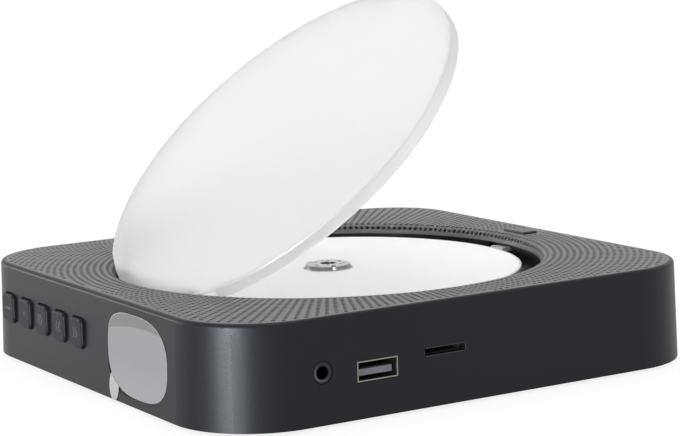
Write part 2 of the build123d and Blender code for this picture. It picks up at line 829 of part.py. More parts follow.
def turntable():
    table = post(turntable_radius, z_disc - turntable_thickness, z_disc)
    table -= ring(turntable_radius - 1.2, hub_radius + 1.0, z_disc - 0.3, z_disc + 1)
    table += post(motor_boss_radius, z_chassis_top + 0.8, z_disc - turntable_thickness)
    return table - post(shaft_radius + snug / 2, z_chassis_top, z_disc + 1)


def spindle_shaft():
    return post(shaft_radius, z_chassis - motor_height + 1.5, z_hub_top - 0.9)


def spindle_motor():
    motor = post(motor_radius, z_chassis - motor_height, z_chassis)
    motor = fillet(motor.edges().sort_by(Axis.Z)[0], 0.8)
    motor += post(motor_boss_radius, z_chassis, z_chassis_top + 0.3)
    motor -= post(shaft_radius + snug, z_chassis - motor_height + 1.0, z_chassis_top + 1)
    return motor


# ---------------------------------------------------------------- pickup mechanism
def mech_chassis():
    plate = block(chassis_left, chassis_right, chassis_front, chassis_back, z_chassis, z_chassis_top)
    plate = fillet(plate.edges().filter_by(Axis.Z), 4)
    window_end = sled_lens_in + sled_travel + tower_half_y + 1
    plate -= block(-tower_half_x - 0.8, tower_half_x + 0.8, sled_lens_in - tower_half_y - 1,
                   window_end, z_chassis - 1, z_chassis_top + 1)
    plate -= post(motor_boss_radius + loose, z_chassis - 1, z_chassis_top + 1)
    plate -= post(sled_motor_shaft + 1.0, z_chassis - 1, z_chassis_top + 1, sled_motor_x, sled_motor_y)
    plate -= post(idler_pin_radius + snug / 2, z_chassis - 1, z_chassis_top + 1, idler_x, idler_y)
    for x, y in chassis_posts:
        plate -= post(damper_neck + 0.1, z_chassis - 1, z_chassis_top + 1, x, y)
    for x in (-rod_x, rod_x):
        for y in (rod_start, rod_end - rod_block):
            plate += block(x - 3, x + 3, y, y + rod_block, z_rod - 2.6, z_chassis)
            plate -= bar_y(rod_radius + snug / 2, y - 1, y + rod_block + 1, x, z_rod)
    return plate


def guide_rods():
    return group([bar_y(rod_radius, rod_start, rod_end, x, z_rod) for x in (-rod_x, rod_x)])


def chassis_dampers():
    dampers = []
    for x, y in chassis_posts:
        damper = post(damper_radius, z_chassis - damper_flange, z_chassis, x, y)
        damper += post(damper_neck, z_chassis, z_chassis_top, x, y)
        damper += post(damper_radius, z_chassis_top, z_chassis_top + damper_flange, x, y)
        damper -= post(board_screw_radius + snug, z_chassis - 3, z_chassis_top + 3, x, y)
        dampers.append(damper)
    return group(dampers)


def chassis_screws():
    screws = []
    z_seat = z_chassis_top + damper_flange
    for x, y in chassis_posts:
        head = post(board_screw_head + 0.6, z_seat, z_seat + screw_head_height, x, y)
        head -= block(x - 1.6, x + 1.6, y - 0.3, y + 0.3, z_seat + 0.7, z_seat + 2)
        screws.append(head + post(board_screw_radius, z_chassis - chassis_screw_length, z_seat, x, y))
    return group(screws)


def pickup_sled():
    y = sled_lens_in
    z_low = z_rod - sled_height / 2
    z_high = z_rod + sled_height / 2
    sled = block(-sled_half_width, sled_half_width, y - sled_half_length, y + sled_half_length,
                 z_low, z_high)
    sled = fillet(sled.edges().filter_by(Axis.Z), 2)
    sled += block(-tower_half_x, tower_half_x, y - tower_half_y, y + tower_half_y,
                  z_high, z_tray - 0.4)
    sled += block(-5.2, 5.2, y - 4.8, y + 4.8, z_tray - 0.4, z_disc - lens_gap - 1.1)
    for x in (-rod_x, rod_x):
        sled -= bar_y(rod_radius + snug, y - sled_half_length - 1, y + sled_half_length + 1, x, z_rod)
    return sled


def objective_lens():
    y = sled_lens_in
    z_seat = z_disc - lens_gap - 1.1
    barrel = ring(lens_radius, lens_radius - 0.9, z_seat, z_seat + 0.9, 0, y)
    lens = post(lens_radius - 0.9, z_seat, z_seat + 0.5, 0, y)
    lens += Pos(0, y, z_seat + 0.5) * scale(
        Sphere(lens_radius - 0.9) & block(-5, 5, -5, 5, 0, 5), by=(1, 1, 0.25))
    return barrel + lens


def sled_rack():
    tooth_pitch = math.pi * gear_module
    half_tooth = tooth_pitch / 4 - gear_backlash / 2
    slope = math.tan(math.radians(20))
    tip = gear_addendum * gear_module
    root = gear_dedendum * gear_module
    rack_from = idler_y - sled_travel - 2 * tooth_pitch
    rack_to = idler_y + 2 * tooth_pitch
    z0 = z_rack
    z1 = z_rack + gear_face
    rack = block(tower_half_x + 2.4, rack_pitch_x - root, rack_from, rack_to, z0, z1)
    rack += block(tower_half_x, tower_half_x + 2.6, sled_lens_in - tower_half_y,
                  sled_lens_in + tower_half_y, z0, z1)
    count = int((rack_to - rack_from) / tooth_pitch)
    for i in range(count):
        y = idler_y + tooth_pitch / 2 - (i - 1) * tooth_pitch
        if y - tooth_pitch / 2 < rack_from:
            continue
        wide = half_tooth + root * slope
        thin = half_tooth - tip * slope
        tooth = Plane.XY.offset(z0) * make_face(Polyline([
            (rack_pitch_x - root - 0.01, y - wide), (rack_pitch_x + tip, y - thin),
            (rack_pitch_x + tip, y + thin), (rack_pitch_x - root - 0.01, y + wide),
        ], close=True))
        rack += extrude(tooth, amount=gear_face)
    return rack


def idler_gear():
    bore = idler_pin_radius + snug
    large = gear(idler_teeth, motor_bearing, idler_x, idler_y, z_gear, z_gear + gear_face, bore)
    hub = ring(small_pitch_radius - gear_module * gear_dedendum, bore, z_gear + gear_face,
               z_rack, idler_x, idler_y)
    small = gear(idler_small_teeth, 180, idler_x, idler_y, z_rack, z_rack + gear_face, bore)
    return large + hub + small


def idler_pin():
    pin = post(idler_pin_radius, z_chassis, z_rack + gear_face + 0.2, idler_x, idler_y)
    cap = z_rack + gear_face + 0.1
    return pin + post(idler_pin_radius + 0.6, cap, cap + 0.4, idler_x, idler_y)


def motor_pinion():
    turn = motor_bearing + 180 + 180 / pinion_teeth
    pinion = gear(pinion_teeth, turn, sled_motor_x, sled_motor_y, z_gear, z_gear + gear_face + 0.4,
                  sled_motor_shaft + snug / 2)
    return pinion + post(sled_motor_shaft, z_chassis - 3, z_gear + gear_face + 0.4,
                         sled_motor_x, sled_motor_y)


def sled_motor():
    motor = post(sled_motor_radius, z_chassis - sled_motor_height, z_chassis, sled_motor_x, sled_motor_y)
    motor = fillet(motor.edges().sort_by(Axis.Z)[0], 0.8)
    return motor - post(sled_motor_shaft + snug, z_chassis - 3.5, z_chassis + 1,
                        sled_motor_x, sled_motor_y)


# ---------------------------------------------------------------- boards
def main_board():
    board = block(board_left, board_right, board_front, board_back, z_board, z_board_top)
    board += block(board_right - 1, board_ear_right, board_ear_front, board_back,
                   z_board, z_board_top)
    for x, y in board_standoffs:
        board -= post(board_screw_radius + snug, z_board - 1, z_board_top + 1, x, y)
    corner = post(corner_radius - casing_wall - 1.0, z_board - 1, z_board_top + 1)
    for side in (-1, 1):
        keep = Pos(side * (half - corner_radius), -(half - corner_radius), 0) * corner
        keep += block(-half, half, -(half - corner_radius), half, z_board - 1, z_board_top + 1)
        keep += block(-(half - corner_radius), half - corner_radius, -half, 0,
                      z_board - 1, z_board_top + 1)
        other = Pos(-side * (half - corner_radius), -(half - corner_radius), 0) * corner
        board = board & (keep + other)
    return board


def board_screws():
    screws = []
    for x, y in board_standoffs:
        head = post(board_screw_head, z_board_top, z_board_top + screw_head_height, x, y)
        screws.append(head + post(board_screw_radius, z_board - board_screw_length, z_board_top, x, y))
    return group(screws)


def board_chips():
    return group([block(x - a / 2, x + a / 2, y - b / 2, y + b / 2, z_board_top, z_board_top + h)
                  for x, y, a, b, h in chip_sizes])


def capacitors():
    cans = []
    for x, y in capacitor_places:
        can = post(capacitor_radius, z_board_top, z_board_top + capacitor_height, x, y)
        cans.append(fillet(can.edges().sort_by(Axis.Z)[-1], 0.5))
    return group(cans)


def key_board():
    return block(key_board_x, key_board_x + board_thickness, window_y - key_board_overlap,
                 key_ys[-1] + 3.8, z_cover_in + 1.6, key_z + key_height / 2 + 3)


def tact_switches():
    switches = []
    for y in key_ys:
        body = block(key_board_x - switch_depth, key_board_x, y - switch_side / 2, y + switch_side / 2,
                     key_z - switch_side / 2, key_z + switch_side / 2)
        body += bar_x(key_plunger_radius, plunger_x, key_board_x - switch_depth, y, key_z)
        switches.append(body)
    return group(switches)


def key(y):
    cap = block(key_face_x, key_rear_x, y - key_width / 2, y + key_width / 2,
                key_z - key_height / 2, key_z + key_height / 2)
    cap = fillet(cap.edges().filter_by(Axis.X), key_corner)
    cap = fillet(cap.faces().sort_by(Axis.X)[0].edges(), key_edge_round)
    flange = block(key_rear_x - key_flange_thickness, key_rear_x, y - key_width / 2 - key_flange,
                   y + key_width / 2 + key_flange, key_z - key_height / 2 - key_flange,
                   key_z + key_height / 2 + key_flange)
    return cap + flange


# ---------------------------------------------------------------- window
def window_lens():
    gap = snug * 2
    return window_solid(window_width - 2 * gap, window_height - 2 * gap,
                        window_rebate - lens_thickness, window_rebate)


def protective_film():
    depth = window_rebate - lens_thickness
    film = window_solid(window_width - 0.4, window_height - 0.4, depth - film_thickness, depth)
    lift = film_thickness + snug
    tab = bulged_outline(tab_width, tab_length, tab_width / 2 - 0.7, 0.4)
    drop = -(window_height / 2 + tab_drop - tab_length / 2)
    place = on_window(-snug, tab_y - window_y, drop)
    film_tab = extrude(place * tab, amount=film_thickness)
    joint_height = tab_length / 2
    neck = on_window(depth, tab_y - window_y, drop + joint_height / 2)
    bridge = extrude(neck * Rectangle(tab_width * 0.55, joint_height * 0.7), amount=lift + depth)
    return film + film_tab + bridge


def display_panel():
    face_x = -(wall_at(window_z) - casing_wall - 0.6)
    panel = block(face_x, key_board_x, window_y - 15.0, window_y + 7.5, window_z - 9.6, window_z + 8.2)
    glass_room = block(face_x - 1, face_x + 0.4, window_y - 13.6, window_y + 6.1,
                       window_z - 8.2, window_z + 6.8)
    return panel - glass_room


def light_receiver():
    y = window_y + 11.5
    tip_x = -(wall_at(window_z) - casing_wall - 1.2)
    body = bar_x(2.2, tip_x + 1.4, key_board_x, y, window_z)
    return body + Pos(tip_x + 1.4, y, window_z) * Sphere(1.9)


# ---------------------------------------------------------------- sockets and switch
def audio_jack():
    z_low = z_board_top
    rear = socket_face_y + jack_depth + 2
    jack = block(jack_x - 5.2, jack_x + 5.2, -(wall_at(jack_z) - casing_wall - 0.5), rear,
                 z_low, jack_z + 3.4)
    jack += bar_y(jack_ring, socket_face_y, socket_face_y + 6, jack_x, jack_z)
    return jack - bar_y(jack_bore, socket_face_y - 1, socket_face_y + jack_depth, jack_x, jack_z)


def usb_shell():
    front = socket_face_y
    shell = block(usb_x - usb_width / 2, usb_x + usb_width / 2, front, front + usb_depth,
                  usb_z - usb_height / 2, usb_z + usb_height / 2)
    shell -= block(usb_x - usb_width / 2 + usb_sheet, usb_x + usb_width / 2 - usb_sheet,
                   front - 1, front + usb_depth - usb_sheet,
                   usb_z - usb_height / 2 + usb_sheet, usb_z + usb_height / 2 - usb_sheet)
    feet = [block(x - 0.3, x + 0.3, front + 6, front + 9, z_board_top, usb_z - usb_height / 2 + 0.2)
            for x in (usb_x - usb_width / 2 + 0.3, usb_x + usb_width / 2 - 0.3)]
    return shell + feet[0] + feet[1]


def usb_tongue():
    front = socket_face_y + 1.6
    rear = socket_face_y + usb_depth - usb_sheet
    inner = usb_height / 2 - usb_sheet
    blade = block(usb_x - 5.5, usb_x + 5.5, front, rear, usb_z - usb_blade_low,
                  usb_z - usb_blade_low + usb_blade_thickness)
    return blade + block(usb_x - 6, usb_x + 6, rear - 3, rear, usb_z - inner, usb_z + inner)


def card_socket():
    front = socket_face_y
    rear = front + card_depth
    body = block(card_x - card_width / 2 - 0.6, card_x + card_width / 2 + 0.6,
                 -(wall_at(card_z) - casing_wall - 0.5), rear, z_board_top, card_z + card_slot / 2 + 0.5)
    return body - block(card_x - card_width / 2, card_x + card_width / 2, front - 1, rear - 1,
                        card_z - card_slot / 2, card_z + card_slot / 2)


def dc_inlet():
    face_x = wall_at(inlet_z) - loose
    inner_x = wall_at(inlet_z) - casing_wall - 0.5
    inlet = block(face_x - inlet_depth - 2, inner_x, inlet_y - 4.6, inlet_y + 4.6,
                  z_board_top, inlet_z + 4.4)
    inlet += bar_x(inlet_ring, inner_x - 1, face_x, inlet_y, inlet_z)
    inlet -= bar_x(inlet_bore, face_x - inlet_bore_depth, face_x + 1, inlet_y, inlet_z)
    return inlet + bar_x(inlet_pin, face_x - inlet_bore_depth - 1, face_x - 1, inlet_y, inlet_z)


def power_switch():
    outer_x = wall_at(power_z) - casing_wall - 0.5
    room = knob_width / 2 + power_travel / 2 + loose
    body = block(outer_x - 6.5, outer_x, power_y - room - 1, power_y + room + 1,
                 z_board_top, power_z + 3.0)
    return body - block(outer_x - 3.0, outer_x + 1, power_y - room, power_y + room,
                        power_z - knob_height / 2 - loose, power_z + knob_height / 2 + loose)


def power_knob():
    outer_x = wall_at(power_z) - casing_wall - 0.5
    y = power_y - power_travel / 2
    knob = block(outer_x - 2.8, outer_reach, y - knob_width / 2, y + knob_width / 2,
                 power_z - knob_height / 2, power_z + knob_height / 2)
    for i in (-1, 0, 1):
        knob -= block(outer_reach - 0.4, outer_reach + 1, y + i - 0.25, y + i + 0.25,
                      power_z - knob_height, power_z + knob_height)
    return knob


# ---------------------------------------------------------------- speakers
z_speaker = z_deck_under - gasket_thickness


def speaker_gaskets():
    return group([ring(speaker_radius, speaker_opening, z_speaker, z_deck_under, x, y)
                  for x, y in speaker_spots])


def speaker_frames():
    frames = []
    for x, y in speaker_spots:
        frame = ring(speaker_radius, speaker_opening, z_speaker - speaker_rim, z_speaker, x, y)
        z_low = z_speaker - speaker_rim - speaker_basket
        z_mid = (z_low + z_speaker - speaker_rim) / 2
        basket = Pos(x, y, z_mid) * Cone(speaker_magnet_radius, speaker_radius - 0.8, speaker_basket)
        basket -= Pos(x, y, z_mid + 0.8) * Cone(speaker_magnet_radius - 0.8, speaker_radius - 1.6,
                                                speaker_basket)
        basket -= post(speaker_magnet_radius - 3.5, z_low - 1, z_low + 2, x, y)
        frames.append(frame + basket)
    return group(frames)


def speaker_magnets():
    z_high = z_speaker - speaker_rim - speaker_basket
    magnets = []
    for x, y in speaker_spots:
        magnet = post(speaker_magnet_radius, z_high - speaker_magnet_height, z_high, x, y)
        magnets.append(magnet + post(speaker_magnet_radius - magnet_boss_step, z_high, z_high + 1.2, x, y))
    return group(magnets)


def speaker_cones():
    cones = []
    for x, y in speaker_spots:
        z_edge = z_speaker - 0.5
        depth = cone_depth
        cone = Pos(x, y, z_edge - depth / 2) * Cone(cone_neck, speaker_opening - 0.3, depth)
        cone -= Pos(x, y, z_edge - depth / 2 + 0.4) * Cone(cone_neck, speaker_opening - 0.3, depth)
        cap = Pos(x, y, z_edge - depth) * (Sphere(dust_cap_radius) & block(-5, 5, -5, 5, 0, 5))
        cap -= Pos(x, y, z_edge - depth) * Sphere(cone_neck)
        coil = ring(cone_neck - 0.1, cone_neck - 0.4, z_edge - depth - 1.6, z_edge - depth + 0.3, x, y)
        cones.append(cone + cap + coil)
    return group(cones)


# ---------------------------------------------------------------- write every piece
pieces = {
    "top_shell": top_shell, "side_walls": side_walls, "grille": grille,
    "acoustic_cloth": acoustic_cloth, "rear_cover": rear_cover, "cover_posts": cover_posts,
    "rubber_feet": rubber_feet, "case_screws": case_screws,
    "disc_well": disc_well, "well_screws": well_screws,
    "lid": lid, "lid_rim": lid_rim, "lid_arms": lid_arms, "lid_hinge_pins": lid_hinge_pins,
    "latch_pad": latch_pad, "latch_tongue": latch_tongue, "latch_spring": latch_spring,
    "compact_disc": compact_disc, "disc_hub": disc_hub, "hub_balls": hub_balls,
    "turntable": turntable, "spindle_shaft": spindle_shaft, "spindle_motor": spindle_motor,
    "mech_chassis": mech_chassis, "guide_rods": guide_rods,
    "chassis_dampers": chassis_dampers, "chassis_screws": chassis_screws,
    "pickup_sled": pickup_sled, "objective_lens": objective_lens, "sled_rack": sled_rack,
    "idler_gear": idler_gear, "idler_pin": idler_pin,
    "motor_pinion": motor_pinion, "sled_motor": sled_motor,
    "main_board": main_board, "board_screws": board_screws, "board_chips": board_chips,
    "capacitors": capacitors, "key_board": key_board, "tact_switches": tact_switches,
    "window_lens": window_lens, "protective_film": protective_film,
    "display_panel": display_panel, "light_receiver": light_receiver,
    "audio_jack": audio_jack, "usb_shell": usb_shell, "usb_tongue": usb_tongue,
    "card_socket": card_socket, "dc_inlet": dc_inlet,
    "power_switch": power_switch, "power_knob": power_knob,
    "speaker_gaskets": speaker_gaskets, "speaker_frames": speaker_frames,
    "speaker_magnets": speaker_magnets, "speaker_cones": speaker_cones,
}

for name, make in pieces.items():
    save(name, make())
for i, y in enumerate(key_ys):
    save("key_" + str(i + 1), key(y))
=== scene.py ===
import math
import bmesh
import bpy
from mathutils import Matrix, Vector


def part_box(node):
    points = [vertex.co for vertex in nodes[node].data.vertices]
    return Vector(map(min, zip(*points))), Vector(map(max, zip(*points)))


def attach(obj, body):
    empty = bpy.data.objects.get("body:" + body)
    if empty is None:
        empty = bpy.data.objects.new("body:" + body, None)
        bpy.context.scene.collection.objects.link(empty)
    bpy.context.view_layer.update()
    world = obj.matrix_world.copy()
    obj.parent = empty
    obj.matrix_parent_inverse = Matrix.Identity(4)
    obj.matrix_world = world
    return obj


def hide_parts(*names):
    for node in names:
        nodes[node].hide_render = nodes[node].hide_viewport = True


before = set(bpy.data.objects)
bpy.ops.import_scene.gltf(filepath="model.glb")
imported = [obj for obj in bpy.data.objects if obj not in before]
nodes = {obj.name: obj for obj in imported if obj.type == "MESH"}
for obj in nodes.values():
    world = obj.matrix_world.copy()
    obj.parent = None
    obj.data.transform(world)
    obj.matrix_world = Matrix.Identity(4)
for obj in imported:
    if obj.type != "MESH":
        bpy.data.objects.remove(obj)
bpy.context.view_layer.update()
scene = bpy.context.scene
print("frame loaded:", len(nodes), "pieces")

# camera at the photograph's place
cameraView = {"place": (-0.34496, -0.58204, 0.14346), "azimuth": -31.009, "elevation": 8.474,
              "roll": -1.863, "lens": 116.67}


def placeCamera(view):
    turn, lift, roll = (math.radians(view[k]) for k in ("azimuth", "elevation", "roll"))
    back = Vector((math.sin(turn) * math.cos(lift), -math.cos(turn) * math.cos(lift), math.sin(lift)))
    right = Vector((math.cos(turn), math.sin(turn), 0))
    up = back.cross(right)
    side = right * math.cos(roll) + up * math.sin(roll)
    top = up * math.cos(roll) - right * math.sin(roll)
    data = bpy.data.cameras.new("photoCamera")
    data.sensor_width = 36
    data.lens = view["lens"]
    data.clip_start = 0.01
    data.clip_end = 50
    camera = bpy.data.objects.new("photoCamera", data)
    scene.collection.objects.link(camera)
    turned = Matrix((side, top, back)).transposed().to_4x4()
    camera.matrix_world = Matrix.Translation(view["place"]) @ turned
    scene.camera = camera


placeCamera(cameraView)


# small helpers for node trees
def node(tree, kind, links=None, **settings):
    made = tree.nodes.new(kind)
    for name, value in settings.items():
        setattr(made, name, value)
    for socket, value in (links or {}).items():
        if isinstance(value, bpy.types.NodeSocket):
            tree.links.new(value, made.inputs[socket])
        else:
            made.inputs[socket].default_value = value
    return made


def maths(tree, operation, a, b=None):
    values = {i: v for i, v in enumerate((a, b)) if v is not None}
    return node(tree, "ShaderNodeMath", values, operation=operation).outputs[0]


def summed(tree, first, *others):
    for other in others:
        first = maths(tree, "ADD", first, other)
    return first


# one mask out of several
def either(tree, masks):
    whole = masks[0]
    for mask in masks[1:]:
        whole = maths(tree, "MAXIMUM", whole, mask)
    return whole


def lengthOf(tree, u, v):
    squares = [maths(tree, "MULTIPLY", part, part) for part in (u, v)]
    return maths(tree, "SQRT", maths(tree, "ADD", *squares))


def blankFinish(name):
    material = bpy.data.materials.new(name)
    material.use_nodes = True
    return material, material.node_tree, material.node_tree.nodes["Principled BSDF"]


def objectSpace(tree, scale=(1, 1, 1)):
    coordinates = node(tree, "ShaderNodeTexCoord")
    mapping = node(tree, "ShaderNodeMapping", {"Vector": coordinates.outputs["Object"]})
    mapping.inputs["Scale"].default_value = scale
    return mapping.outputs[0]


def placeOf(tree, space):
    return node(tree, "ShaderNodeSeparateXYZ", {0: space}).outputs


def spots(tree, space, scale, detail=2.0):
    return node(tree, "ShaderNodeTexNoise", {"Vector": space, "Scale": scale, "Detail": detail}).outputs[0]


def spread(tree, value, low, high):
    return node(tree, "ShaderNodeMapRange", {0: value, 1: 0.3, 2: 0.7, 3: low, 4: high}).outputs[0]


def between(tree, value, start, end):
    return node(tree, "ShaderNodeMapRange", {0: value, 1: start, 2: end, 3: 0.0, 4: 1.0},
                interpolation_type="SMOOTHSTEP").outputs[0]


def mixed(tree, factor, first, second):
    mix = node(tree, "ShaderNodeMix", data_type="RGBA")
    for socket, value in ((mix.inputs[0], factor), (mix.inputs[6], first), (mix.inputs[7], second)):
        if isinstance(value, bpy.types.NodeSocket):
            tree.links.new(value, socket)
        else:
            socket.default_value = value if isinstance(value, float) else (*value[:3], 1)
    return mix.outputs[2]


def bumped(tree, shader, height, depth, strength=1.0):
    bump = node(tree, "ShaderNodeBump", {"Height": height, "Distance": depth, "Strength": strength})
    tree.links.new(bump.outputs[0], shader.inputs["Normal"])


def coloured(tree, shader, colour):
    tree.links.new(colour, shader.inputs["Base Color"])


def glossed(tree, shader, pattern, rough, less, more):
    tree.links.new(spread(tree, pattern, rough - less, rough + more), shader.inputs["Roughness"])


# distance from the edge of a rounded rectangle in two of the object's own axes, less than 0 inside
def fromOutline(tree, u, v, middle, half, corner):
    reach = []
    for axis, centre, side in ((u, middle[0], half[0]), (v, middle[1], half[1])):
        away = maths(tree, "ABSOLUTE", maths(tree, "SUBTRACT", axis, centre))
        reach.append(maths(tree, "SUBTRACT", away, side - corner))
    outer = [maths(tree, "MAXIMUM", r, 0.0) for r in reach]
    inner = maths(tree, "MINIMUM", maths(tree, "MAXIMUM", *reach), 0.0)
    return maths(tree, "SUBTRACT", maths(tree, "ADD", lengthOf(tree, *outer), inner), corner)


# line of a given width around such an outline
def lineAround(tree, distance, start, end):
    return maths(tree, "MULTIPLY", maths(tree, "GREATER_THAN", distance, start),
                 maths(tree, "LESS_THAN", distance, end))


# moulded or painted skin: colour clouds, uneven gloss and a fine grain
usualSkin = {"stretch": (1, 1, 1), "cloud": 60, "cloudDetail": 3, "shift": 0.12, "uneven": 0.05,
             "depth": 0.00002, "bump": 0.5, "sheen": (1, 1, 1), "metal": 0.0, "ior": 1.45, "specular": 0.5,
             "clear": 0.0, "coat": 0.0, "coatRough": 0.1}
skinSockets = {"Metallic": "metal", "IOR": "ior", "Specular IOR Level": "specular",
               "Transmission Weight": "clear", "Coat Weight": "coat", "Coat Roughness": "coatRough"}


def skin(name, ownLook):
    look = {**usualSkin, **ownLook}
    material, tree, shader = blankFinish(name)
    space = objectSpace(tree, look["stretch"])
    cloud = spots(tree, space, look["cloud"], look["cloudDetail"])
    grain = spots(tree, space, look["grain"])
    shifts = (-look["shift"], look["shift"])
    darker, lighter = ([c * (1 + shift) for c in look["colour"]] for shift in shifts)
    colour = mixed(tree, cloud, darker, lighter)
    coloured(tree, shader, colour)
    glossed(tree, shader, grain, look["rough"], look["uneven"], look["uneven"])
    for socket, value in skinSockets.items():
        shader.inputs[socket].default_value = look[value]
    shader.inputs["Specular Tint"].default_value = (*look["sheen"], 1)
    bumped(tree, shader, grain, look["depth"], look["bump"])
    return material, tree, shader, space, colour, grain


def moulding(name, look):
    return skin(name, look)[0]


def dress(material, *names):
    for name in names:
        for slot in nodes[name].material_slots:
            slot.material = material


# casing: dark moulding with a lighter line round the card slot, and a painted shadow line round the window
casingLook = {"colour": (0.0105, 0.0118, 0.0150), "rough": 0.40, "grain": 2600, "depth": 0.00003,
              "cloud": 25, "specular": 0.20, "sheen": (0.86, 0.92, 1.0)}
casingLines = {"slotMiddle": (-0.0126, 0.0165), "slotHalf": (0.0066, 0.00085), "slotCorner": 0.0002,
               "slotLine": (0.0, 0.0003), "slotTone": (0.10, 0.10, 0.105), "slotFace": -0.08322,
               "windowMiddle": (-0.0340, 0.0156), "windowHalf": (0.0188, 0.0121), "windowCorner": 0.009,
               "windowLine": (-0.0001, 0.0003), "windowTone": (0.003, 0.003, 0.004), "windowFace": -0.0815}


def casingFinish(look, lines):
    material, tree, shader, space, colour, grain = skin("casingPlastic", look)
    place = placeOf(tree, space)
    # the slot's lighter line is on the front, the window's painted shadow line on the left side
    for name, outward, along in (("slot", 1, 0), ("window", 0, 1)):
        onFace = maths(tree, "LESS_THAN", place[outward], lines[name + "Face"])
        edge = fromOutline(tree, place[along], place[2], lines[name + "Middle"], lines[name + "Half"],
                           lines[name + "Corner"])
        line = maths(tree, "MULTIPLY", lineAround(tree, edge, *lines[name + "Line"]), onFace)
        colour = mixed(tree, line, colour, lines[name + "Tone"])
    coloured(tree, shader, colour)
    return material


coverLook = {"colour": (0.014, 0.014, 0.015), "rough": 0.5, "grain": 1800, "depth": 0.00006, "cloud": 30}
wellLook = {"colour": (0.008, 0.0085, 0.0105), "rough": 0.42, "specular": 0.12, "grain": 2200,
            "depth": 0.00004, "cloud": 30}
padLook = {"colour": (0.016, 0.0165, 0.018), "rough": 0.36, "grain": 3000, "depth": 0.00002, "cloud": 80}
rubberLook = {"colour": (0.02, 0.02, 0.02), "rough": 0.75, "grain": 1500, "depth": 0.00008, "cloud": 100}
dress(casingFinish(casingLook, casingLines), "top_shell", "side_walls")
dress(moulding("coverPlastic", coverLook), "rear_cover", "cover_posts")
wellPlastic = moulding("wellPlastic", wellLook)
dress(wellPlastic, "disc_well")
dress(moulding("padPlastic", padLook), "latch_pad")
dress(moulding("softRubber", rubberLook), "rubber_feet", "chassis_dampers", "speaker_gaskets")

# keys: each face carries a small sunk mark, a bar, a dot, play and pause, or two arrowheads, coloured
# lighter as a painted highlight on the mark
keyLook = {"colour": (0.0185, 0.0197, 0.0238), "rough": 0.42, "grain": 3000, "depth": 0.00002, "cloud": 80,
           "specular": 0.10, "sheen": (0.88, 0.93, 1.0)}
keyMarks = {"face": -0.0840, "height": 0.017, "first": 0.0049, "pitch": 0.0127, "slant": 0.7,
            "arrow": (0.000312, 0.0016), "stroke": (0.00026, 0.0016), "dot": (0.0005, 0.0005),
            "bar": (0.0021, 0.0004), "highlightTone": (0.10, 0.10, 0.11), "depth": 0.0004, "bump": 0.6,
            "grainShare": 0.1,
            "shapes": [[("arrow", -0.0012, -1), ("arrow", 0.0006, -1)],
                       [("arrow", -0.0006, 1), ("arrow", 0.0012, 1)],
                       [("arrow", -0.0010, -1), ("stroke", 0.0009, 0), ("stroke", 0.0019, 0)],
                       [("dot", 0, 0)],
                       [("bar", 0, 0)]]}


def markShape(tree, along, up, kind, shift, side, marks):
    across = maths(tree, "SUBTRACT", along, shift)
    height = maths(tree, "ABSOLUTE", up)
    if kind == "arrow":
        # a slanting stroke mirrored above and below the middle
        across = maths(tree, "ADD", across, maths(tree, "MULTIPLY", height, marks["slant"] * side))
    wide, high = marks[kind]
    return maths(tree, "MULTIPLY", maths(tree, "LESS_THAN", maths(tree, "ABSOLUTE", across), wide),
                 maths(tree, "LESS_THAN", height, high))


def keyFinish(number, look, marks):
    material, tree, shader, space, colour, grain = skin("keyPlastic%d" % number, look)
    place = placeOf(tree, space)
    along = maths(tree, "SUBTRACT", place[1], marks["first"] + marks["pitch"] * (number - 1))
    up = maths(tree, "SUBTRACT", place[2], marks["height"])
    shapes = marks["shapes"][number - 1]
    mark = either(tree, [markShape(tree, along, up, *shape, marks) for shape in shapes])
    mark = maths(tree, "MULTIPLY", mark, maths(tree, "LESS_THAN", place[0], marks["face"]))
    # painted highlight: the sunk mark is coloured lighter than the key
    coloured(tree, shader, mixed(tree, mark, colour, marks["highlightTone"]))
    height = maths(tree, "SUBTRACT", maths(tree, "MULTIPLY", grain, marks["grainShare"]), mark)
    bumped(tree, shader, height, marks["depth"], marks["bump"])
    return material


for number in range(1, 6):
    dress(keyFinish(number, keyLook, keyMarks), "key_%d" % number)

# metals
screwLook = {"colour": (0.55, 0.55, 0.56), "rough": 0.3, "metal": 1.0, "grain": 1200, "cloud": 300}
ballLook = {"colour": (0.72, 0.72, 0.73), "rough": 0.2, "metal": 1.0, "grain": 900, "cloud": 400}
sheetLook = {"colour": (0.6, 0.6, 0.58), "rough": 0.34, "metal": 1.0, "grain": 1400, "cloud": 200,
             "stretch": (1, 1, 8)}
dress(moulding("zincScrews", screwLook), "case_screws", "well_screws", "lid_hinge_pins", "latch_spring",
      "spindle_shaft", "guide_rods", "chassis_screws", "idler_pin", "board_screws")
dress(moulding("ballSteel", ballLook), "hub_balls")
dress(moulding("sheetMetal", sheetLook), "spindle_motor", "sled_motor", "power_switch", "speaker_frames")

# socket shells: bright lip at the face, and painted shade that darkens the throat behind it
usbLook = {"colour": (0.26, 0.25, 0.21), "rough": 0.32, "metal": 1.0, "grain": 1200, "cloud": 200,
           "lip": -0.08295, "fade": 0.0003, "throatShade": (0.012, 0.012, 0.013)}
cardLook = {"colour": (0.02, 0.02, 0.02), "rough": 0.5, "metal": 0.0, "grain": 1200, "cloud": 200,
            "lip": -0.083, "fade": 0.0003, "throatShade": (0.004, 0.004, 0.004)}
jackLook = {"colour": (0.0105, 0.0118, 0.0150), "rough": 0.34, "grain": 1800, "depth": 0.00003,
            "specular": 0.25, "middle": (-0.0522, 0.0155), "bore": 0.0020, "ring": 0.0026,
            "ringLitTone": (0.075, 0.078, 0.09), "ringDimTone": (0.02, 0.02, 0.024),
            "ringLitFade": (0.0018, -0.0030), "throatShade": (0.001, 0.001, 0.001)}
bladeLook = {"colour": (0.17, 0.17, 0.20), "rough": 0.42, "grain": 2000, "depth": 0.00002,
             "lip": -0.0795, "fade": 0.0003, "throatShade": (0.03, 0.03, 0.035)}


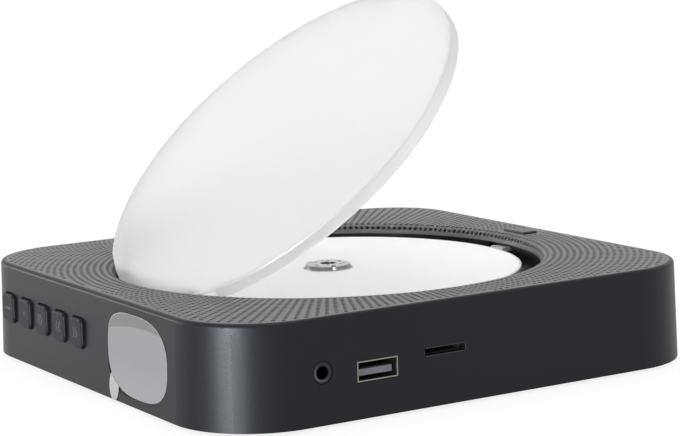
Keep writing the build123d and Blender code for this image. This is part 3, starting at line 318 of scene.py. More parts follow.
def shadedThroatFinish(name, look):
    material, tree, shader, space, colour, grain = skin(name, look)
    # painted shade: past the lip the colour darkens into the throat
    depth = between(tree, placeOf(tree, space)[1], look["lip"], look["lip"] + look["fade"])
    coloured(tree, shader, mixed(tree, depth, colour, look["throatShade"]))
    if look.get("metal"):
        tree.links.new(maths(tree, "SUBTRACT", 1.0, depth), shader.inputs["Metallic"])
    return material


dress(shadedThroatFinish("usbPlate", usbLook), "usb_shell")
dress(shadedThroatFinish("cardCage", cardLook), "card_socket")


# jack: bore painted nearly black as painted shade, in a ring with a painted reflection that is lightest
# towards its lower left
def jackFinish(look):
    material, tree, shader, space, colour, grain = skin("jackPlastic", look)
    place = placeOf(tree, space)
    across = maths(tree, "SUBTRACT", place[0], look["middle"][0])
    up = maths(tree, "SUBTRACT", place[2], look["middle"][1])
    radius = lengthOf(tree, across, up)
    # painted reflection on the ring, lightest towards the lower left
    litLowerLeft = between(tree, summed(tree, across, up), *look["ringLitFade"])
    ring = mixed(tree, litLowerLeft, look["ringDimTone"], look["ringLitTone"])
    face = mixed(tree, lineAround(tree, radius, look["bore"], look["ring"]), colour, ring)
    # painted shade inside the bore
    inBore = maths(tree, "LESS_THAN", radius, look["bore"])
    coloured(tree, shader, mixed(tree, inBore, face, look["throatShade"]))
    return material


dress(jackFinish(jackLook), "audio_jack")
dress(shadedThroatFinish("bladeNylon", bladeLook), "usb_tongue")

# mouldings inside
mechanismLook = {"colour": (0.02, 0.02, 0.021), "rough": 0.45, "grain": 1500, "depth": 0.00005}
gearLook = {"colour": (0.82, 0.8, 0.74), "rough": 0.4, "grain": 1600, "depth": 0.00002}
tongueLook = {"colour": (0.46, 0.47, 0.48), "rough": 0.42, "grain": 2000, "depth": 0.00002}
socketLook = {"colour": (0.012, 0.012, 0.013), "rough": 0.5, "grain": 1800, "depth": 0.00004}
chipLook = {"colour": (0.018, 0.018, 0.019), "rough": 0.55, "grain": 4000, "depth": 0.00003}
ferriteLook = {"colour": (0.035, 0.035, 0.038), "rough": 0.6, "grain": 3000, "depth": 0.00008,
               "shift": 0.3}
dress(moulding("mechanismPlastic", mechanismLook), "turntable", "mech_chassis", "pickup_sled")
dress(moulding("gearNylon", gearLook), "sled_rack", "idler_gear", "motor_pinion")
dress(moulding("tongueNylon", tongueLook), "latch_tongue")
dress(moulding("socketPlastic", socketLook), "dc_inlet", "power_knob")
dress(moulding("chipEpoxy", chipLook), "board_chips", "tact_switches", "display_panel", "light_receiver")
dress(moulding("speakerFerrite", ferriteLook), "speaker_magnets")
print("mouldings and metals done")

# boards: green laminate with copper tracks under the mask
boardLook = {"mask": (0.012, 0.1, 0.035), "maskDark": (0.009, 0.075, 0.028), "copper": (0.03, 0.2, 0.06),
             "tracks": 260, "trackWidth": 0.03, "rough": 0.35, "coat": 0.4, "depth": 0.00004, "bump": 0.6}


def boardFinish(look):
    material, tree, shader = blankFinish("boardLaminate")
    brick = {"Vector": objectSpace(tree), "Scale": look["tracks"], "Mortar Size": look["trackWidth"],
             "Color1": (*look["mask"], 1), "Color2": (*look["maskDark"], 1), "Mortar": (*look["copper"], 1)}
    tracks = node(tree, "ShaderNodeTexBrick", brick)
    shader.inputs["Roughness"].default_value = look["rough"]
    shader.inputs["Coat Weight"].default_value = look["coat"]
    coloured(tree, shader, tracks.outputs[0])
    bumped(tree, shader, tracks.outputs["Fac"], look["depth"], look["bump"])
    return material


dress(boardFinish(boardLook), "main_board", "key_board")

# woven cloth and pressed paper
clothLook = {"colour": (0.008, 0.008, 0.009), "threads": 500, "twist": 0.4, "hollow": 0.5, "rough": 0.95,
             "sheen": 0.0, "depth": 0.0001, "bump": 0.8}
paperLook = {"colour": (0.03, 0.03, 0.03), "threads": 220, "twist": 0.4, "hollow": 0.5, "rough": 0.85,
             "sheen": 0.05, "depth": 0.00006, "bump": 0.8}


def wovenFinish(name, look):
    material, tree, shader = blankFinish(name)
    wave = {"Vector": objectSpace(tree), "Scale": look["threads"], "Distortion": look["twist"]}
    threads = [node(tree, "ShaderNodeTexWave", wave, bands_direction=way).outputs[1] for way in ("X", "Y")]
    weave = maths(tree, "MAXIMUM", *threads)
    coloured(tree, shader, mixed(tree, weave, [c * look["hollow"] for c in look["colour"]], look["colour"]))
    shader.inputs["Roughness"].default_value = look["rough"]
    shader.inputs["Sheen Weight"].default_value = look["sheen"]
    bumped(tree, shader, weave, look["depth"], look["bump"])
    return material


speakerCloth = wovenFinish("speakerCloth", clothLook)
dress(speakerCloth, "acoustic_cloth")
dress(wovenFinish("conePaper", paperLook), "speaker_cones")

# capacitors: printed sleeve with a bare metal top
capLook = {"sleeve": (0.02, 0.025, 0.06), "metal": (0.7, 0.7, 0.7), "rough": 0.35, "uneven": (0.05, 0.08),
           "grain": 900, "ring": 0.0004}


def capacitorFinish(look):
    material, tree, shader = blankFinish("capacitorSleeve")
    space = objectSpace(tree)
    isTop = maths(tree, "GREATER_THAN", placeOf(tree, space)[2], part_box("capacitors")[1].z - look["ring"])
    coloured(tree, shader, mixed(tree, isTop, look["sleeve"], look["metal"]))
    tree.links.new(isTop, shader.inputs["Metallic"])
    glossed(tree, shader, spots(tree, space, look["grain"]), look["rough"], *look["uneven"])
    return material


dress(capacitorFinish(capLook), "capacitors")

# frosted lid: one milky moulding, plate and rim, that lets part of the light through
lidSize = {"hinge": (-0.059, 0.0272), "open": 41.4, "radius": 0.0645, "top": 0.0302, "plate": 0.0014,
           "skirt": 0.0040, "wall": 0.0018, "edge": 0.0005, "edgeSteps": 5, "bevel": 0.0003,
           "topInset": 0.004, "underInset": 0.002, "rearFlat": 0.0625, "rearFrom": -0.5, "relief": 0.0006,
           "reliefFrom": -0.0530, "reliefBlend": 0.0030, "skirtFrom": -0.0555, "gapHalf": 0.0065,
           "steps": 300, "cut": 1e-6, "weld": 4e-7, "thin": 2e-7, "sharp": 30}
lidLook = {"colour": (0.88, 0.885, 0.89), "rough": 0.36, "uneven": 0.04, "clear": 0.82, "ior": 1.49,
           "grain": 1500, "depth": 0.00002, "bump": 0.2, "cloud": 25, "cloudTone": 0.99,
           "line": (0.06385, 0.06425), "edgeShadeTone": 0.93}


# each section's angle, and whether it has a rim
def lidAngles(size):
    whole = 2 * math.pi
    rear = math.acos(size["skirtFrom"] / size["radius"])
    gap = math.asin(size["gapHalf"] / size["radius"])
    angles = [whole * i / size["steps"] for i in range(size["steps"])]
    # two sections a hair apart close each end of the rim
    for end in (rear, whole - rear, gap, whole - gap):
        angles += [end - size["cut"], end + size["cut"]]
    return [(a, rear > a > gap or whole - gap > a > whole - rear) for a in sorted(angles)]


# round in front, and flattened and a little drawn in at the hinge
def lidReach(angle, size):
    x = math.cos(angle)
    past = (size["reliefFrom"] - x * size["radius"]) / size["reliefBlend"]
    reach = size["radius"] - size["relief"] * min(max(past, 0), 1)
    return min(reach, -size["rearFlat"] / x) if x < size["rearFrom"] else reach


# points from the top face round the edge to the underside: inset from the edge, height
def lidSection(hasRim, size):
    top, edge, bevel, wall = (size[k] for k in ("top", "edge", "bevel", "wall"))
    under = top - size["plate"]
    low = top - size["skirt"] if hasRim else under
    points = [(size["topInset"], top)]
    for k in range(size["edgeSteps"] + 1):
        t = math.radians(90 * k / size["edgeSteps"])
        points.append((edge * (1 - math.sin(t)), top - edge * (1 - math.cos(t))))
    points += [(0, low + bevel), (bevel, low), (wall - bevel, low), (wall, low + bevel if hasRim else low),
               (wall, under), (wall + size["underInset"], under)]
    return points


def opened(point, size):
    hingeX, hingeZ = size["hinge"]
    turn = math.radians(size["open"])
    x, z = point.x - hingeX, point.z - hingeZ
    return Vector((hingeX + x * math.cos(turn) - z * math.sin(turn), point.y,
                   hingeZ + x * math.sin(turn) + z * math.cos(turn)))


def makeLid(size, finish):
    shape = bmesh.new()

    def at(reach, angle, z):
        flat = Vector((reach * math.cos(angle), reach * math.sin(angle), z))
        return shape.verts.new(opened(flat, size))

    loops = []
    for angle, hasRim in lidAngles(size):
        reach = lidReach(angle, size)
        loops.append([at(reach - inset, angle, z) for inset, z in lidSection(hasRim, size)])
    topMiddle = at(0, 0, size["top"])
    lowMiddle = at(0, 0, size["top"] - size["plate"])
    for i, loop in enumerate(loops):
        after = loops[(i + 1) % len(loops)]
        for k in range(len(loop) - 1):
            shape.faces.new((loop[k], loop[k + 1], after[k + 1], after[k]))
        shape.faces.new((topMiddle, loop[0], after[0]))
        shape.faces.new((lowMiddle, after[-1], loop[-1]))
    bmesh.ops.remove_doubles(shape, verts=shape.verts, dist=size["weld"])
    bmesh.ops.dissolve_degenerate(shape, edges=shape.edges, dist=size["thin"])
    bmesh.ops.recalc_face_normals(shape, faces=shape.faces)
    print("lid open edges:", sum(e.is_boundary for e in shape.edges), "faces:", len(shape.faces))
    return finishedPiece(shape, "frosted_lid", [finish], size["sharp"])


# turns a bmesh into an object with soft shading and sharp corners
def finishedPiece(shape, name, materials, sharpFrom=35):
    for edge in shape.edges:
        edge.smooth = len(edge.link_faces) == 2 and edge.calc_face_angle(0) < math.radians(sharpFrom)
    for face in shape.faces:
        face.smooth = True
    mesh = bpy.data.meshes.new(name)
    shape.to_mesh(mesh)
    shape.free()
    for material in materials:
        mesh.materials.append(material)
    piece = bpy.data.objects.new(name, mesh)
    scene.collection.objects.link(piece)
    return piece


def lidFinish(look, size):
    material, tree, shader = blankFinish("frostedLid")
    space = objectSpace(tree)
    place = placeOf(tree, space)
    turn = math.radians(size["open"])
    hingeX, hingeZ = size["hinge"]
    # distance from the lid's own middle, measured in its plane
    parts = [maths(tree, "MULTIPLY", maths(tree, "SUBTRACT", axis, start), share) for axis, start, share in
             ((place[0], hingeX, math.cos(turn)), (place[2], hingeZ, math.sin(turn)))]
    radius = lengthOf(tree, summed(tree, *parts, hingeX), place[1])
    # painted shade: a slightly darker line just inside the lid's edge
    line = between(tree, radius, *look["line"])
    cloud = spots(tree, space, look["cloud"])
    plain = mixed(tree, cloud, [c * look["cloudTone"] for c in look["colour"]], look["colour"])
    coloured(tree, shader, mixed(tree, line, plain, [c * look["edgeShadeTone"] for c in look["colour"]]))
    grain = spots(tree, space, look["grain"])
    glossed(tree, shader, grain, look["rough"], look["uneven"], look["uneven"])
    shader.inputs["Transmission Weight"].default_value = look["clear"]
    shader.inputs["IOR"].default_value = look["ior"]
    bumped(tree, shader, grain, look["depth"], look["bump"])
    return material


frostedLid = lidFinish(lidLook, lidSize)
dress(frostedLid, "lid_arms")
lidPiece = makeLid(lidSize, frostedLid)
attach(lidPiece, "lid")
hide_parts("lid", "lid_rim")

# disc: white printed face right up to the hub, clear edge, and a painted rainbow reflection on the
# underside
discLook = {"print": (0.93, 0.93, 0.93), "clear": (0.62, 0.64, 0.66), "printed": (0.0078, 0.0592),
            "cloud": 40, "cloudTone": 0.985, "under": 0.0266, "trackTurns": 60, "rainbowReflection": (0.35, 0.75),
            "metal": 0.9, "rough": 0.5, "uneven": 0.04, "haze": 60}


def discFinish(look):
    material, tree, shader = blankFinish("discPrint")
    space = objectSpace(tree)
    place = placeOf(tree, space)
    radius = lengthOf(tree, place[0], place[1])
    under = maths(tree, "LESS_THAN", place[2], look["under"])
    # painted reflection: on the underside the hue turns with radius and angle, like the rainbow the tracks
    # throw
    turned = maths(tree, "DIVIDE", maths(tree, "ARCTAN2", place[1], place[0]), math.pi)
    tracks = maths(tree, "MULTIPLY", radius, look["trackTurns"])
    hue = maths(tree, "FRACT", maths(tree, "ADD", tracks, turned))
    pale, bright = look["rainbowReflection"]
    rainbowReflection = node(tree, "ShaderNodeCombineColor", {0: hue, 1: pale, 2: bright}, mode="HSV").outputs[0]
    cloud = spots(tree, space, look["cloud"])
    white = mixed(tree, cloud, [c * look["cloudTone"] for c in look["print"]], look["print"])
    topSide = mixed(tree, lineAround(tree, radius, *look["printed"]), look["clear"], white)
    coloured(tree, shader, mixed(tree, under, topSide, rainbowReflection))
    tree.links.new(maths(tree, "MULTIPLY", under, look["metal"]), shader.inputs["Metallic"])
    glossed(tree, shader, spots(tree, space, look["haze"]), look["rough"], look["uneven"], look["uneven"])
    return material


dress(discFinish(discLook), "compact_disc")

# hub: bright cap with six small holes round a bore, holes and bore dark with painted shade; the tapered
# side painted darker as painted shade, its foot lighter as a painted highlight
hubLook = {"cap": (0.42, 0.42, 0.43), "side": (0.20, 0.20, 0.205), "foot": (0.42, 0.42, 0.43),
           "hole": (0.02, 0.02, 0.02), "capFrom": 0.02840, "footTo": 0.02745, "holes": 6, "ring": 0.0050,
           "holeRadius": 0.00065, "start": 0.35, "bore": 0.0021, "rough": 0.24, "uneven": (0.05, 0.08),
           "brush": (1, 1, 12), "grain": 900, "grainShare": 0.05, "depth": 0.0003, "bump": 0.5}


def hubFinish(look):
    material, tree, shader = blankFinish("hubMetal")
    place = placeOf(tree, objectSpace(tree))
    isCap = maths(tree, "GREATER_THAN", place[2], look["capFrom"])
    isFoot = maths(tree, "LESS_THAN", place[2], look["footTo"])
    circles = [((0, 0), look["bore"])]
    for i in range(look["holes"]):
        turn = look["start"] + 2 * math.pi * i / look["holes"]
        circles.append(((look["ring"] * math.cos(turn), look["ring"] * math.sin(turn)), look["holeRadius"]))
    edges = [fromOutline(tree, place[0], place[1], middle, (radius, radius), radius)
             for middle, radius in circles]
    # painted shade in the six holes and the bore
    dark = either(tree, [maths(tree, "LESS_THAN", edge, 0.0) for edge in edges])
    dark = maths(tree, "MULTIPLY", dark, isCap)
    # painted shade on the tapered side, with a painted highlight on its foot
    side = mixed(tree, isFoot, look["side"], look["foot"])
    cap = mixed(tree, dark, look["cap"], look["hole"])
    coloured(tree, shader, mixed(tree, isCap, side, cap))
    brushed = spots(tree, objectSpace(tree, look["brush"]), look["grain"])
    glossed(tree, shader, brushed, look["rough"], *look["uneven"])
    shader.inputs["Metallic"].default_value = 1.0
    height = maths(tree, "SUBTRACT", maths(tree, "MULTIPLY", brushed, look["grainShare"]), dark)
    bumped(tree, shader, height, look["depth"], look["bump"])
    return material


# glass and tinted pane
lensLook = {"colour": (0.3, 0.4, 0.75), "rough": 0.05, "uneven": 0.01, "grain": 600, "clear": 0.6,
            "coat": 1.0, "depth": 0.000001}
windowLook = {"colour": (0.010, 0.011, 0.012), "rough": 0.18, "grain": 500, "specular": 0.25,
              "depth": 0.000003}
dress(hubFinish(hubLook), "disc_hub")
dress(moulding("lensGlass", lensLook), "objective_lens")
dress(moulding("windowTint", windowLook), "window_lens")
print("lid, disc and hub done")

# peel-off film over the window, with a pull tab that sticks out below its corner
filmSize = {"middle": (-0.0340, 0.0156), "half": (0.0186, 0.0119), "bends": (3.6, 2.5, 2.9, 2.4),
            "rim": 0.983, "wall": (-0.083779, 0.0285), "thick": 0.00014, "lift": 0.00002, "points": 96,
            "tabMiddle": (-0.0190, 0.0052), "tabHalf": (0.0030, 0.0044), "tabTurn": 0.12, "tabGap": 0.00001,
            "tabStep": 0.00007}
filmLook = {"colour": (0.240, 0.243, 0.260), "lower": (0.275, 0.28, 0.293), "reflectionTone": (0.150, 0.150, 0.139),
            "rough": 0.24, "uneven": 0.03, "haze": 900, "edge": 0.0243, "fade": 0.0003,
            "shade": (0.016, 0.005), "bow": 4.5, "bowMiddle": -0.040}
tabLook = {"colour": (0.40, 0.41, 0.42), "rough": 0.3, "grain": 500, "cloud": 200, "depth": 0.00001}
# the film's rim is coloured lighter, a painted highlight along its edge
rimHighlightLook = dict(tabLook, colour=(0.33, 0.33, 0.34))


# closed curve whose four corners are bent by their own amounts
def filmPoint(turn, size, scale=1.0):
    bend = 2 / size["bends"][int(turn // (math.pi / 2)) % 4]
    y, z = math.cos(turn), math.sin(turn)
    return (size["middle"][0] + scale * size["half"][0] * math.copysign(abs(y) ** bend, y),
            size["middle"][1] + scale * size["half"][1] * math.copysign(abs(z) ** bend, z))


def insideFilm(y, z, size):
    y, z = (y - size["middle"][0]) / size["half"][0], (z - size["middle"][1]) / size["half"][1]
    bend = size["bends"][(0 if z > 0 else 3) if y > 0 else (1 if z > 0 else 2)]
    return abs(y) ** bend + abs(z) ** bend < 1


# a thin plate that lies along the casing's sloping side, with a rim where it has an inner loop
def slab(shape, outline, lift, size, materialIndex, innerLoop=None, rimIndex=0):
    def at(y, z, out):
        return shape.verts.new((size["wall"][0] + size["wall"][1] * z - out, y, z))
    outer = [at(y, z, lift) for y, z in outline]
    back = [at(y, z, lift - size["thick"]) for y, z in outline]
    loop = [at(y, z, lift) for y, z in innerLoop] if innerLoop else outer
    shape.faces.new(loop).material_index = materialIndex
    shape.faces.new(back[::-1]).material_index = materialIndex
    for i in range(len(outline)):
        j = (i + 1) % len(outline)
        shape.faces.new((outer[j], outer[i], back[i], back[j])).material_index = rimIndex
        if innerLoop:
            shape.faces.new((outer[i], outer[j], loop[j], loop[i])).material_index = rimIndex


def filmFinish(look):
    material, tree, shader = blankFinish("windowFilm")
    space = objectSpace(tree)
    place = placeOf(tree, space)
    fromMiddle = maths(tree, "SUBTRACT", place[1], look["bowMiddle"])
    bow = maths(tree, "MULTIPLY", maths(tree, "MULTIPLY", fromMiddle, fromMiddle), look["bow"])
    # painted reflection: the film is a darker grey above a bowed line and lighter below it, where a
    # reflection ends on it
    above = between(tree, summed(tree, place[2], bow, -look["edge"]), -look["fade"], look["fade"])
    # painted shading: the film is lighter towards the bottom
    down = between(tree, place[2], *look["shade"])
    clear = mixed(tree, down, look["colour"], look["lower"])
    coloured(tree, shader, mixed(tree, above, clear, look["reflectionTone"]))
    glossed(tree, shader, spots(tree, space, look["haze"]), look["rough"], look["uneven"], look["uneven"])
    return material


def tabPoint(turn, size):
    along, up = size["tabHalf"][0] * math.cos(turn), size["tabHalf"][1] * math.sin(turn)
    lean = size["tabTurn"]
    y = size["tabMiddle"][0] + along * math.cos(lean) - up * math.sin(lean)
    z = size["tabMiddle"][1] + along * math.sin(lean) + up * math.cos(lean)
    # points that would lie on the film go back to its edge
    while insideFilm(y, z, size):
        y, z = y + size["tabStep"], z - size["tabStep"]
    return y, z


def makeFilm(size, look):
    shape = bmesh.new()
    turns = [2 * math.pi * (i + 0.5) / size["points"] for i in range(size["points"])]
    edge, inner = ([filmPoint(t, size, scale) for t in turns] for scale in (1.0, size["rim"]))
    slab(shape, edge, size["lift"], size, 0, inner, 2)
    slab(shape, [tabPoint(t, size) for t in turns], size["thick"] + size["tabGap"], size, 1, None, 1)
    bmesh.ops.recalc_face_normals(shape, faces=shape.faces)
    materials = [filmFinish(look), moulding("tabFilm", tabLook), moulding("rimHighlightFilm", rimHighlightLook)]
    piece = finishedPiece(shape, "peel_film", materials)
    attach(piece, "casing")
    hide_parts("protective_film")


makeFilm(filmSize, filmLook)
print("film done")

# perforated sheet: the solid's own edges with a new top that has real holes
grilleSize = {"top": 0.0305, "centre": 0.0275, "ring": 0.069, "round": 0.003, "holeRadius": 0.00066,
              "sides": 12, "depth": 0.0009, "first": 0.06624, "pitch": 0.00203, "rings": 19, "spokes": 220,
              "field": 0.0803, "corner": 0.0227, "pad": (0.0737, 0.0027, 0.0054), "padRoom": 0.0012,
              "seams": (0.0652, 0.0673, 0.069, 0.077405, 0.079435), "near": 1e-5, "nearRound": 4e-5,
              "weldSides": 1e-6, "weldSheet": 2e-6}
grilleLook = {"colour": (0.098, 0.097, 0.096), "rough": 0.42, "grain": 2600, "depth": 0.00003, "cloud": 20,
              "shift": 0.06}


# a point of the rounded rim, laid out flat
def unrolled(point, size):
    radius = math.hypot(point.x, point.y)
    if point.z > size["top"] - size["near"]:
        return Vector((point.x, point.y, 0))
    angle = math.atan2(size["ring"] - radius, point.z - size["centre"])
    flat = size["ring"] - angle * size["round"]
    return Vector((point.x * flat / radius, point.y * flat / radius, 0))


def zoneAt(radius, size):
    return 1 + sum(radius > seam for seam in size["seams"])


def holeCentres(size):
    padX, padHalfX, padHalfY = size["pad"]
    room = size["padRoom"]
    inner = size["field"] - size["corner"]
    for ring in range(size["rings"]):
        radius = size["first"] + size["pitch"] * ring
        for spoke in range(size["spokes"]):
            angle = 2 * math.pi * spoke / size["spokes"]
            x, y = radius * math.cos(angle), radius * math.sin(angle)
            outX, outY = max(abs(x) - inner, 0), max(abs(y) - inner, 0)
            if max(abs(x), abs(y)) > size["field"] or math.hypot(outX, outY) > size["corner"]:
                continue
            if abs(x - padX) < padHalfX + room and abs(y) < padHalfY + room:
                continue
            yield (x, y, 0)


def onRound(point, size):
    across = math.hypot(point.x, point.y)
    reach = math.hypot(size["ring"] - across, point.z - size["centre"])
    inside = point.z > size["centre"] - size["near"] and across < size["ring"] + size["near"]
    return inside and abs(reach - size["round"]) < size["nearRound"]


# keeps the sheet's sides and underside, and lays its open edges out flat with the hole centres
def grilleOutline(size):
    kept = bmesh.new()
    kept.from_mesh(nodes["grille"].data)
    bmesh.ops.remove_doubles(kept, verts=kept.verts, dist=size["weldSides"])

    def onSkin(point):
        return point.z > size["top"] - size["near"] or onRound(point, size)

    goes = [f for f in kept.faces if all(onSkin(v.co) for v in f.verts)]
    bmesh.ops.delete(kept, geom=goes, context="FACES")
    flat = bmesh.new()
    zone = flat.verts.layers.int.new("zone")
    hole = flat.verts.layers.bool.new("hole")
    made = {}

    def flatPoint(vert):
        if vert not in made:
            made[vert] = flat.verts.new(unrolled(vert.co, size))
            made[vert][zone] = zoneAt(made[vert].co.length, size)
        return made[vert]

    for edge in kept.edges:
        if edge.is_boundary:
            flat.edges.new([flatPoint(v) for v in edge.verts])
    # seams split the sheet into zones, so that the rim bends smoothly and each zone fills fast
    for number, radius in enumerate(size["seams"], 1):
        for zoneNumber in (number, number + 1):
            loop = []
            for i in range(size["spokes"]):
                angle = 2 * math.pi * (i + 0.5) / size["spokes"]
                vert = flat.verts.new((radius * math.cos(angle), radius * math.sin(angle), 0))
                vert[zone] = zoneNumber
                loop.append(vert)
            for i, vert in enumerate(loop):
                flat.edges.new((vert, loop[(i + 1) % len(loop)]))
    for centre in holeCentres(size):
        vert = flat.verts.new(centre)
        vert[zone] = zoneAt(vert.co.length, size)
        vert[hole] = True
    mesh = bpy.data.meshes.new("perforatedSheet")
    flat.to_mesh(mesh)
    flat.free()
    return kept, mesh


grilleInputs = {"Hole Radius": "holeRadius", "Hole Depth": "depth", "Rim Radius": "ring",
                "Rim Round": "round", "Round Centre Height": "centre", "Hole Sides": "sides"}


def joined(tree, *parts):
    join = node(tree, "GeometryNodeJoinGeometry")
    for part in parts:
        tree.links.new(part, join.inputs[0])
    return join.outputs[0]


def stored(tree, name, kind):
    return node(tree, "GeometryNodeInputNamedAttribute", {0: name}, data_type=kind).outputs[0]


# a flat sheet with round holes, and one small cup with a dark floor for every hole
def flatSheet(tree, entry):
    sides, radius = entry["Hole Sides"], entry["Hole Radius"]
    isHole, zone = stored(tree, "hole", "BOOLEAN"), stored(tree, "zone", "INT")
    parts = node(tree, "GeometryNodeSeparateGeometry", {0: entry["Geometry"], 1: isHole},
                 domain="POINT").outputs
    loops = node(tree, "GeometryNodeMeshToCurve", {0: parts[1]}).outputs[0]
    circle = node(tree, "GeometryNodeCurvePrimitiveCircle", {0: sides, 4: radius}).outputs[0]
    placed = node(tree, "GeometryNodeInstanceOnPoints", {0: parts[0], 2: circle}).outputs[0]
    circles = node(tree, "GeometryNodeRealizeInstances", {0: placed}).outputs[0]
    edges = joined(tree, loops, circles)
    sheet = node(tree, "GeometryNodeFillCurve", {0: edges, 1: zone}, mode="TRIANGLES").outputs[0]
    rim = node(tree, "GeometryNodeMeshCircle", {0: sides, 1: radius}, fill_type="NONE").outputs[0]
    down = maths(tree, "MULTIPLY", entry["Hole Depth"], -1.0)
    lower = node(tree, "ShaderNodeCombineXYZ", {2: down}).outputs[0]
    wall = node(tree, "GeometryNodeExtrudeMesh", {0: rim, 2: lower, 3: 1.0}, mode="EDGES").outputs[0]
    floor = node(tree, "GeometryNodeMeshCircle", {0: sides, 1: radius}, fill_type="NGON").outputs[0]
    floor = node(tree, "GeometryNodeSetPosition", {0: floor, 3: lower}).outputs[0]
    floor = node(tree, "GeometryNodeStoreNamedAttribute", {0: floor, 2: "cupFloor", 3: True},
                 data_type="BOOLEAN", domain="FACE").outputs[0]
    cup = joined(tree, wall, floor)
    cups = node(tree, "GeometryNodeInstanceOnPoints", {0: parts[0], 2: cup}).outputs[0]
    return node(tree, "GeometryNodeRealizeInstances", {0: joined(tree, sheet, cups)}).outputs[0]


def grilleTree(paint, shade):
    tree = bpy.data.node_groups.new("perforations", "GeometryNodeTree")
    face = tree.interface
    face.new_socket("Geometry", in_out="INPUT", socket_type="NodeSocketGeometry")
    for name in grilleInputs:
        kind = "NodeSocketInt" if name == "Hole Sides" else "NodeSocketFloat"
        face.new_socket(name, in_out="INPUT", socket_type=kind)
    face.new_socket("Geometry", in_out="OUTPUT", socket_type="NodeSocketGeometry")
    entry = node(tree, "NodeGroupInput").outputs
    whole = flatSheet(tree, entry)
    # bend the flat sheet back over the rim
    place = placeOf(tree, node(tree, "GeometryNodeInputPosition").outputs[0])
    reach = lengthOf(tree, place[0], place[1])
    past = maths(tree, "MAXIMUM", maths(tree, "SUBTRACT", entry["Rim Radius"], reach), 0.0)
    angle = maths(tree, "DIVIDE", past, entry["Rim Round"])
    skinHeight = maths(tree, "ADD", entry["Rim Round"], place[2])
    newReach = maths(tree, "SUBTRACT", maths(tree, "MAXIMUM", reach, entry["Rim Radius"]),
                     maths(tree, "MULTIPLY", skinHeight, maths(tree, "SINE", angle)))
    factor = maths(tree, "DIVIDE", newReach, reach)
    height = maths(tree, "ADD", entry["Round Centre Height"],
                   maths(tree, "MULTIPLY", skinHeight, maths(tree, "COSINE", angle)))
    x, y = (maths(tree, "MULTIPLY", place[k], factor) for k in (0, 1))
    bent = node(tree, "ShaderNodeCombineXYZ", {0: x, 1: y, 2: height}).outputs[0]
    rolled = node(tree, "GeometryNodeSetPosition", {0: whole, 2: bent}).outputs[0]
    painted = node(tree, "GeometryNodeSetMaterial", {0: rolled, 2: paint}).outputs[0]
    isFloor = stored(tree, "cupFloor", "BOOLEAN")
    shaded = node(tree, "GeometryNodeSetMaterial", {0: painted, 1: isFloor, 2: shade}).outputs[0]
    tree.links.new(shaded, node(tree, "NodeGroupOutput").inputs[0])
    return tree


# turns a finished modifier stack into a plain mesh on the same object
def plainMesh(piece):
    bpy.context.view_layer.update()
    result = bpy.data.meshes.new_from_object(piece.evaluated_get(bpy.context.evaluated_depsgraph_get()))
    piece.modifiers.clear()
    piece.data = result
    return piece


def makeGrille(size, look):
    paint = moulding("grillePaint", look)
    kept, mesh = grilleOutline(size)
    sheet = bpy.data.objects.new("sheetOutline", mesh)
    scene.collection.objects.link(sheet)
    modifier = sheet.modifiers.new("perforations", "NODES")
    modifier.node_group = grilleTree(paint, speakerCloth)
    for socket in modifier.node_group.interface.items_tree:
        if socket.in_out == "INPUT" and socket.name in grilleInputs:
            modifier[socket.identifier] = size[grilleInputs[socket.name]]
    plainMesh(sheet)
    whole = bmesh.new()
    whole.from_mesh(sheet.data)
    slots = [material or paint for material in sheet.data.materials] + [wellPlastic]
    rest = bpy.data.meshes.new("sheetSides")
    for f in kept.faces:
        middle = f.calc_center_median()
        # the sheet's skirt inside the well takes the well's dark plastic, as painted shade inside the well
        inWell = middle.z < size["centre"] and middle.xy.length < size["ring"]
        f.material_index = slots.index(wellPlastic if inWell else paint)
    kept.to_mesh(rest)
    kept.free()
    whole.from_mesh(rest)
    bpy.data.objects.remove(sheet)
    bmesh.ops.remove_doubles(whole, verts=whole.verts, dist=size["weldSheet"])
    bmesh.ops.recalc_face_normals(whole, faces=whole.faces)
    print("grille open edges:", sum(e.is_boundary for e in whole.edges), "faces:", len(whole.faces))
    piece = finishedPiece(whole, "perforated_grille", slots)
    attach(piece, "casing")
    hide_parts("grille")


makeGrille(grilleSize, grilleLook)
print("perforated grille done")

# stage: white floor that keeps the shadow, white surroundings, soft lights
stageLook = {"floorSize": 6.0, "floorGlow": 0.84, "floorColour": 0.2, "floorOther": 0.85, "world": 0.82}
lampAim = (0, 0, 0.03)
lampLook = {"left": {"place": (-1.1, -0.47, 0.13), "wide": 0.35, "high": 0.22, "power": 4.5},
            "edge": {"place": (-1.12, -0.58, 0.06), "wide": 0.34, "high": 0.10, "power": 42.0,
                     "glossOnly": True},
            "back": {"place": (-0.67, 1.11, 0.13), "wide": 0.5, "high": 0.22, "power": 3.0},
            "top": {"place": (0.1, 0.2, 1.4), "wide": 1.0, "high": 1.0, "power": 4.0}}


def seenRays(tree):
    rays = node(tree, "ShaderNodeLightPath").outputs
    return maths(tree, "MAXIMUM", maths(tree, "MAXIMUM", rays["Is Camera Ray"], rays["Is Glossy Ray"]),
                 rays["Is Transmission Ray"])


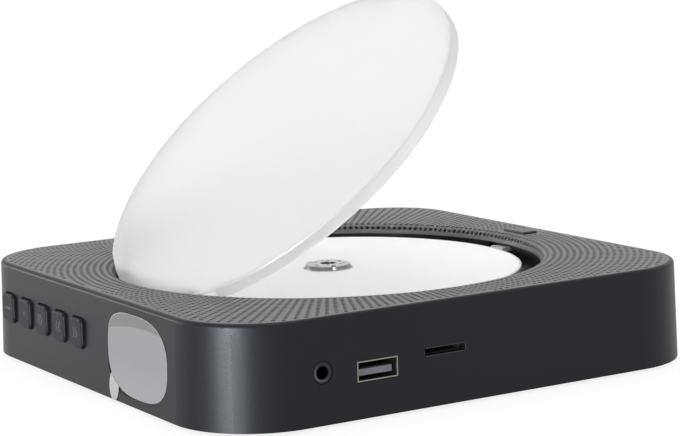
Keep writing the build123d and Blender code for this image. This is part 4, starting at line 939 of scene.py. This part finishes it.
def makeStage(look):
    floor = bpy.data.objects.new("floor", bpy.data.meshes.new("floor"))
    half = look["floorSize"] / 2
    corners = [(-half, -half, 0), (half, -half, 0), (half, half, 0), (-half, half, 0)]
    floor.data.from_pydata(corners, [], [(0, 1, 2, 3)])
    scene.collection.objects.link(floor)
    material = bpy.data.materials.new("floorPaper")
    material.use_nodes = True
    tree = material.node_tree
    tree.nodes.clear()
    plain = node(tree, "ShaderNodeBsdfDiffuse", {0: (*[look["floorOther"]] * 3, 1)}).outputs[0]
    shadow = node(tree, "ShaderNodeBsdfDiffuse", {0: (*[look["floorColour"]] * 3, 1)}).outputs[0]
    glow = node(tree, "ShaderNodeEmission", {0: (1, 1, 1, 1), 1: look["floorGlow"]}).outputs[0]
    seen = node(tree, "ShaderNodeAddShader", {0: shadow, 1: glow}).outputs[0]
    mix = node(tree, "ShaderNodeMixShader", {0: seenRays(tree), 1: plain, 2: seen}).outputs[0]
    node(tree, "ShaderNodeOutputMaterial", {0: mix})
    floor.data.materials.append(material)
    world = bpy.data.worlds.new("whiteRoom")
    world.use_nodes = True
    scene.world = world
    tree = world.node_tree
    tree.nodes.clear()
    level = node(tree, "ShaderNodeMix", {0: seenRays(tree), 2: look["world"], 3: 1.0}).outputs[0]
    light = node(tree, "ShaderNodeBackground", {0: (1, 1, 1, 1), 1: level}).outputs[0]
    node(tree, "ShaderNodeOutputWorld", {0: light})


def makeLamp(name, look):
    data = bpy.data.lights.new(name, "AREA")
    data.shape = "RECTANGLE"
    data.size = look["wide"]
    data.size_y = look["high"]
    data.energy = look["power"]
    lamp = bpy.data.objects.new(name, data)
    scene.collection.objects.link(lamp)
    if look.get("glossOnly"):
        lamp.visible_diffuse = lamp.visible_transmission = False
    place = Vector(look["place"])
    lamp.location = place
    lamp.rotation_euler = (place - Vector(lampAim)).to_track_quat("Z", "Y").to_euler()


makeStage(stageLook)
for lampName, look in lampLook.items():
    makeLamp(lampName + "Softbox", look)
scene.view_settings.view_transform = "Standard"
print("stage and lamps done")
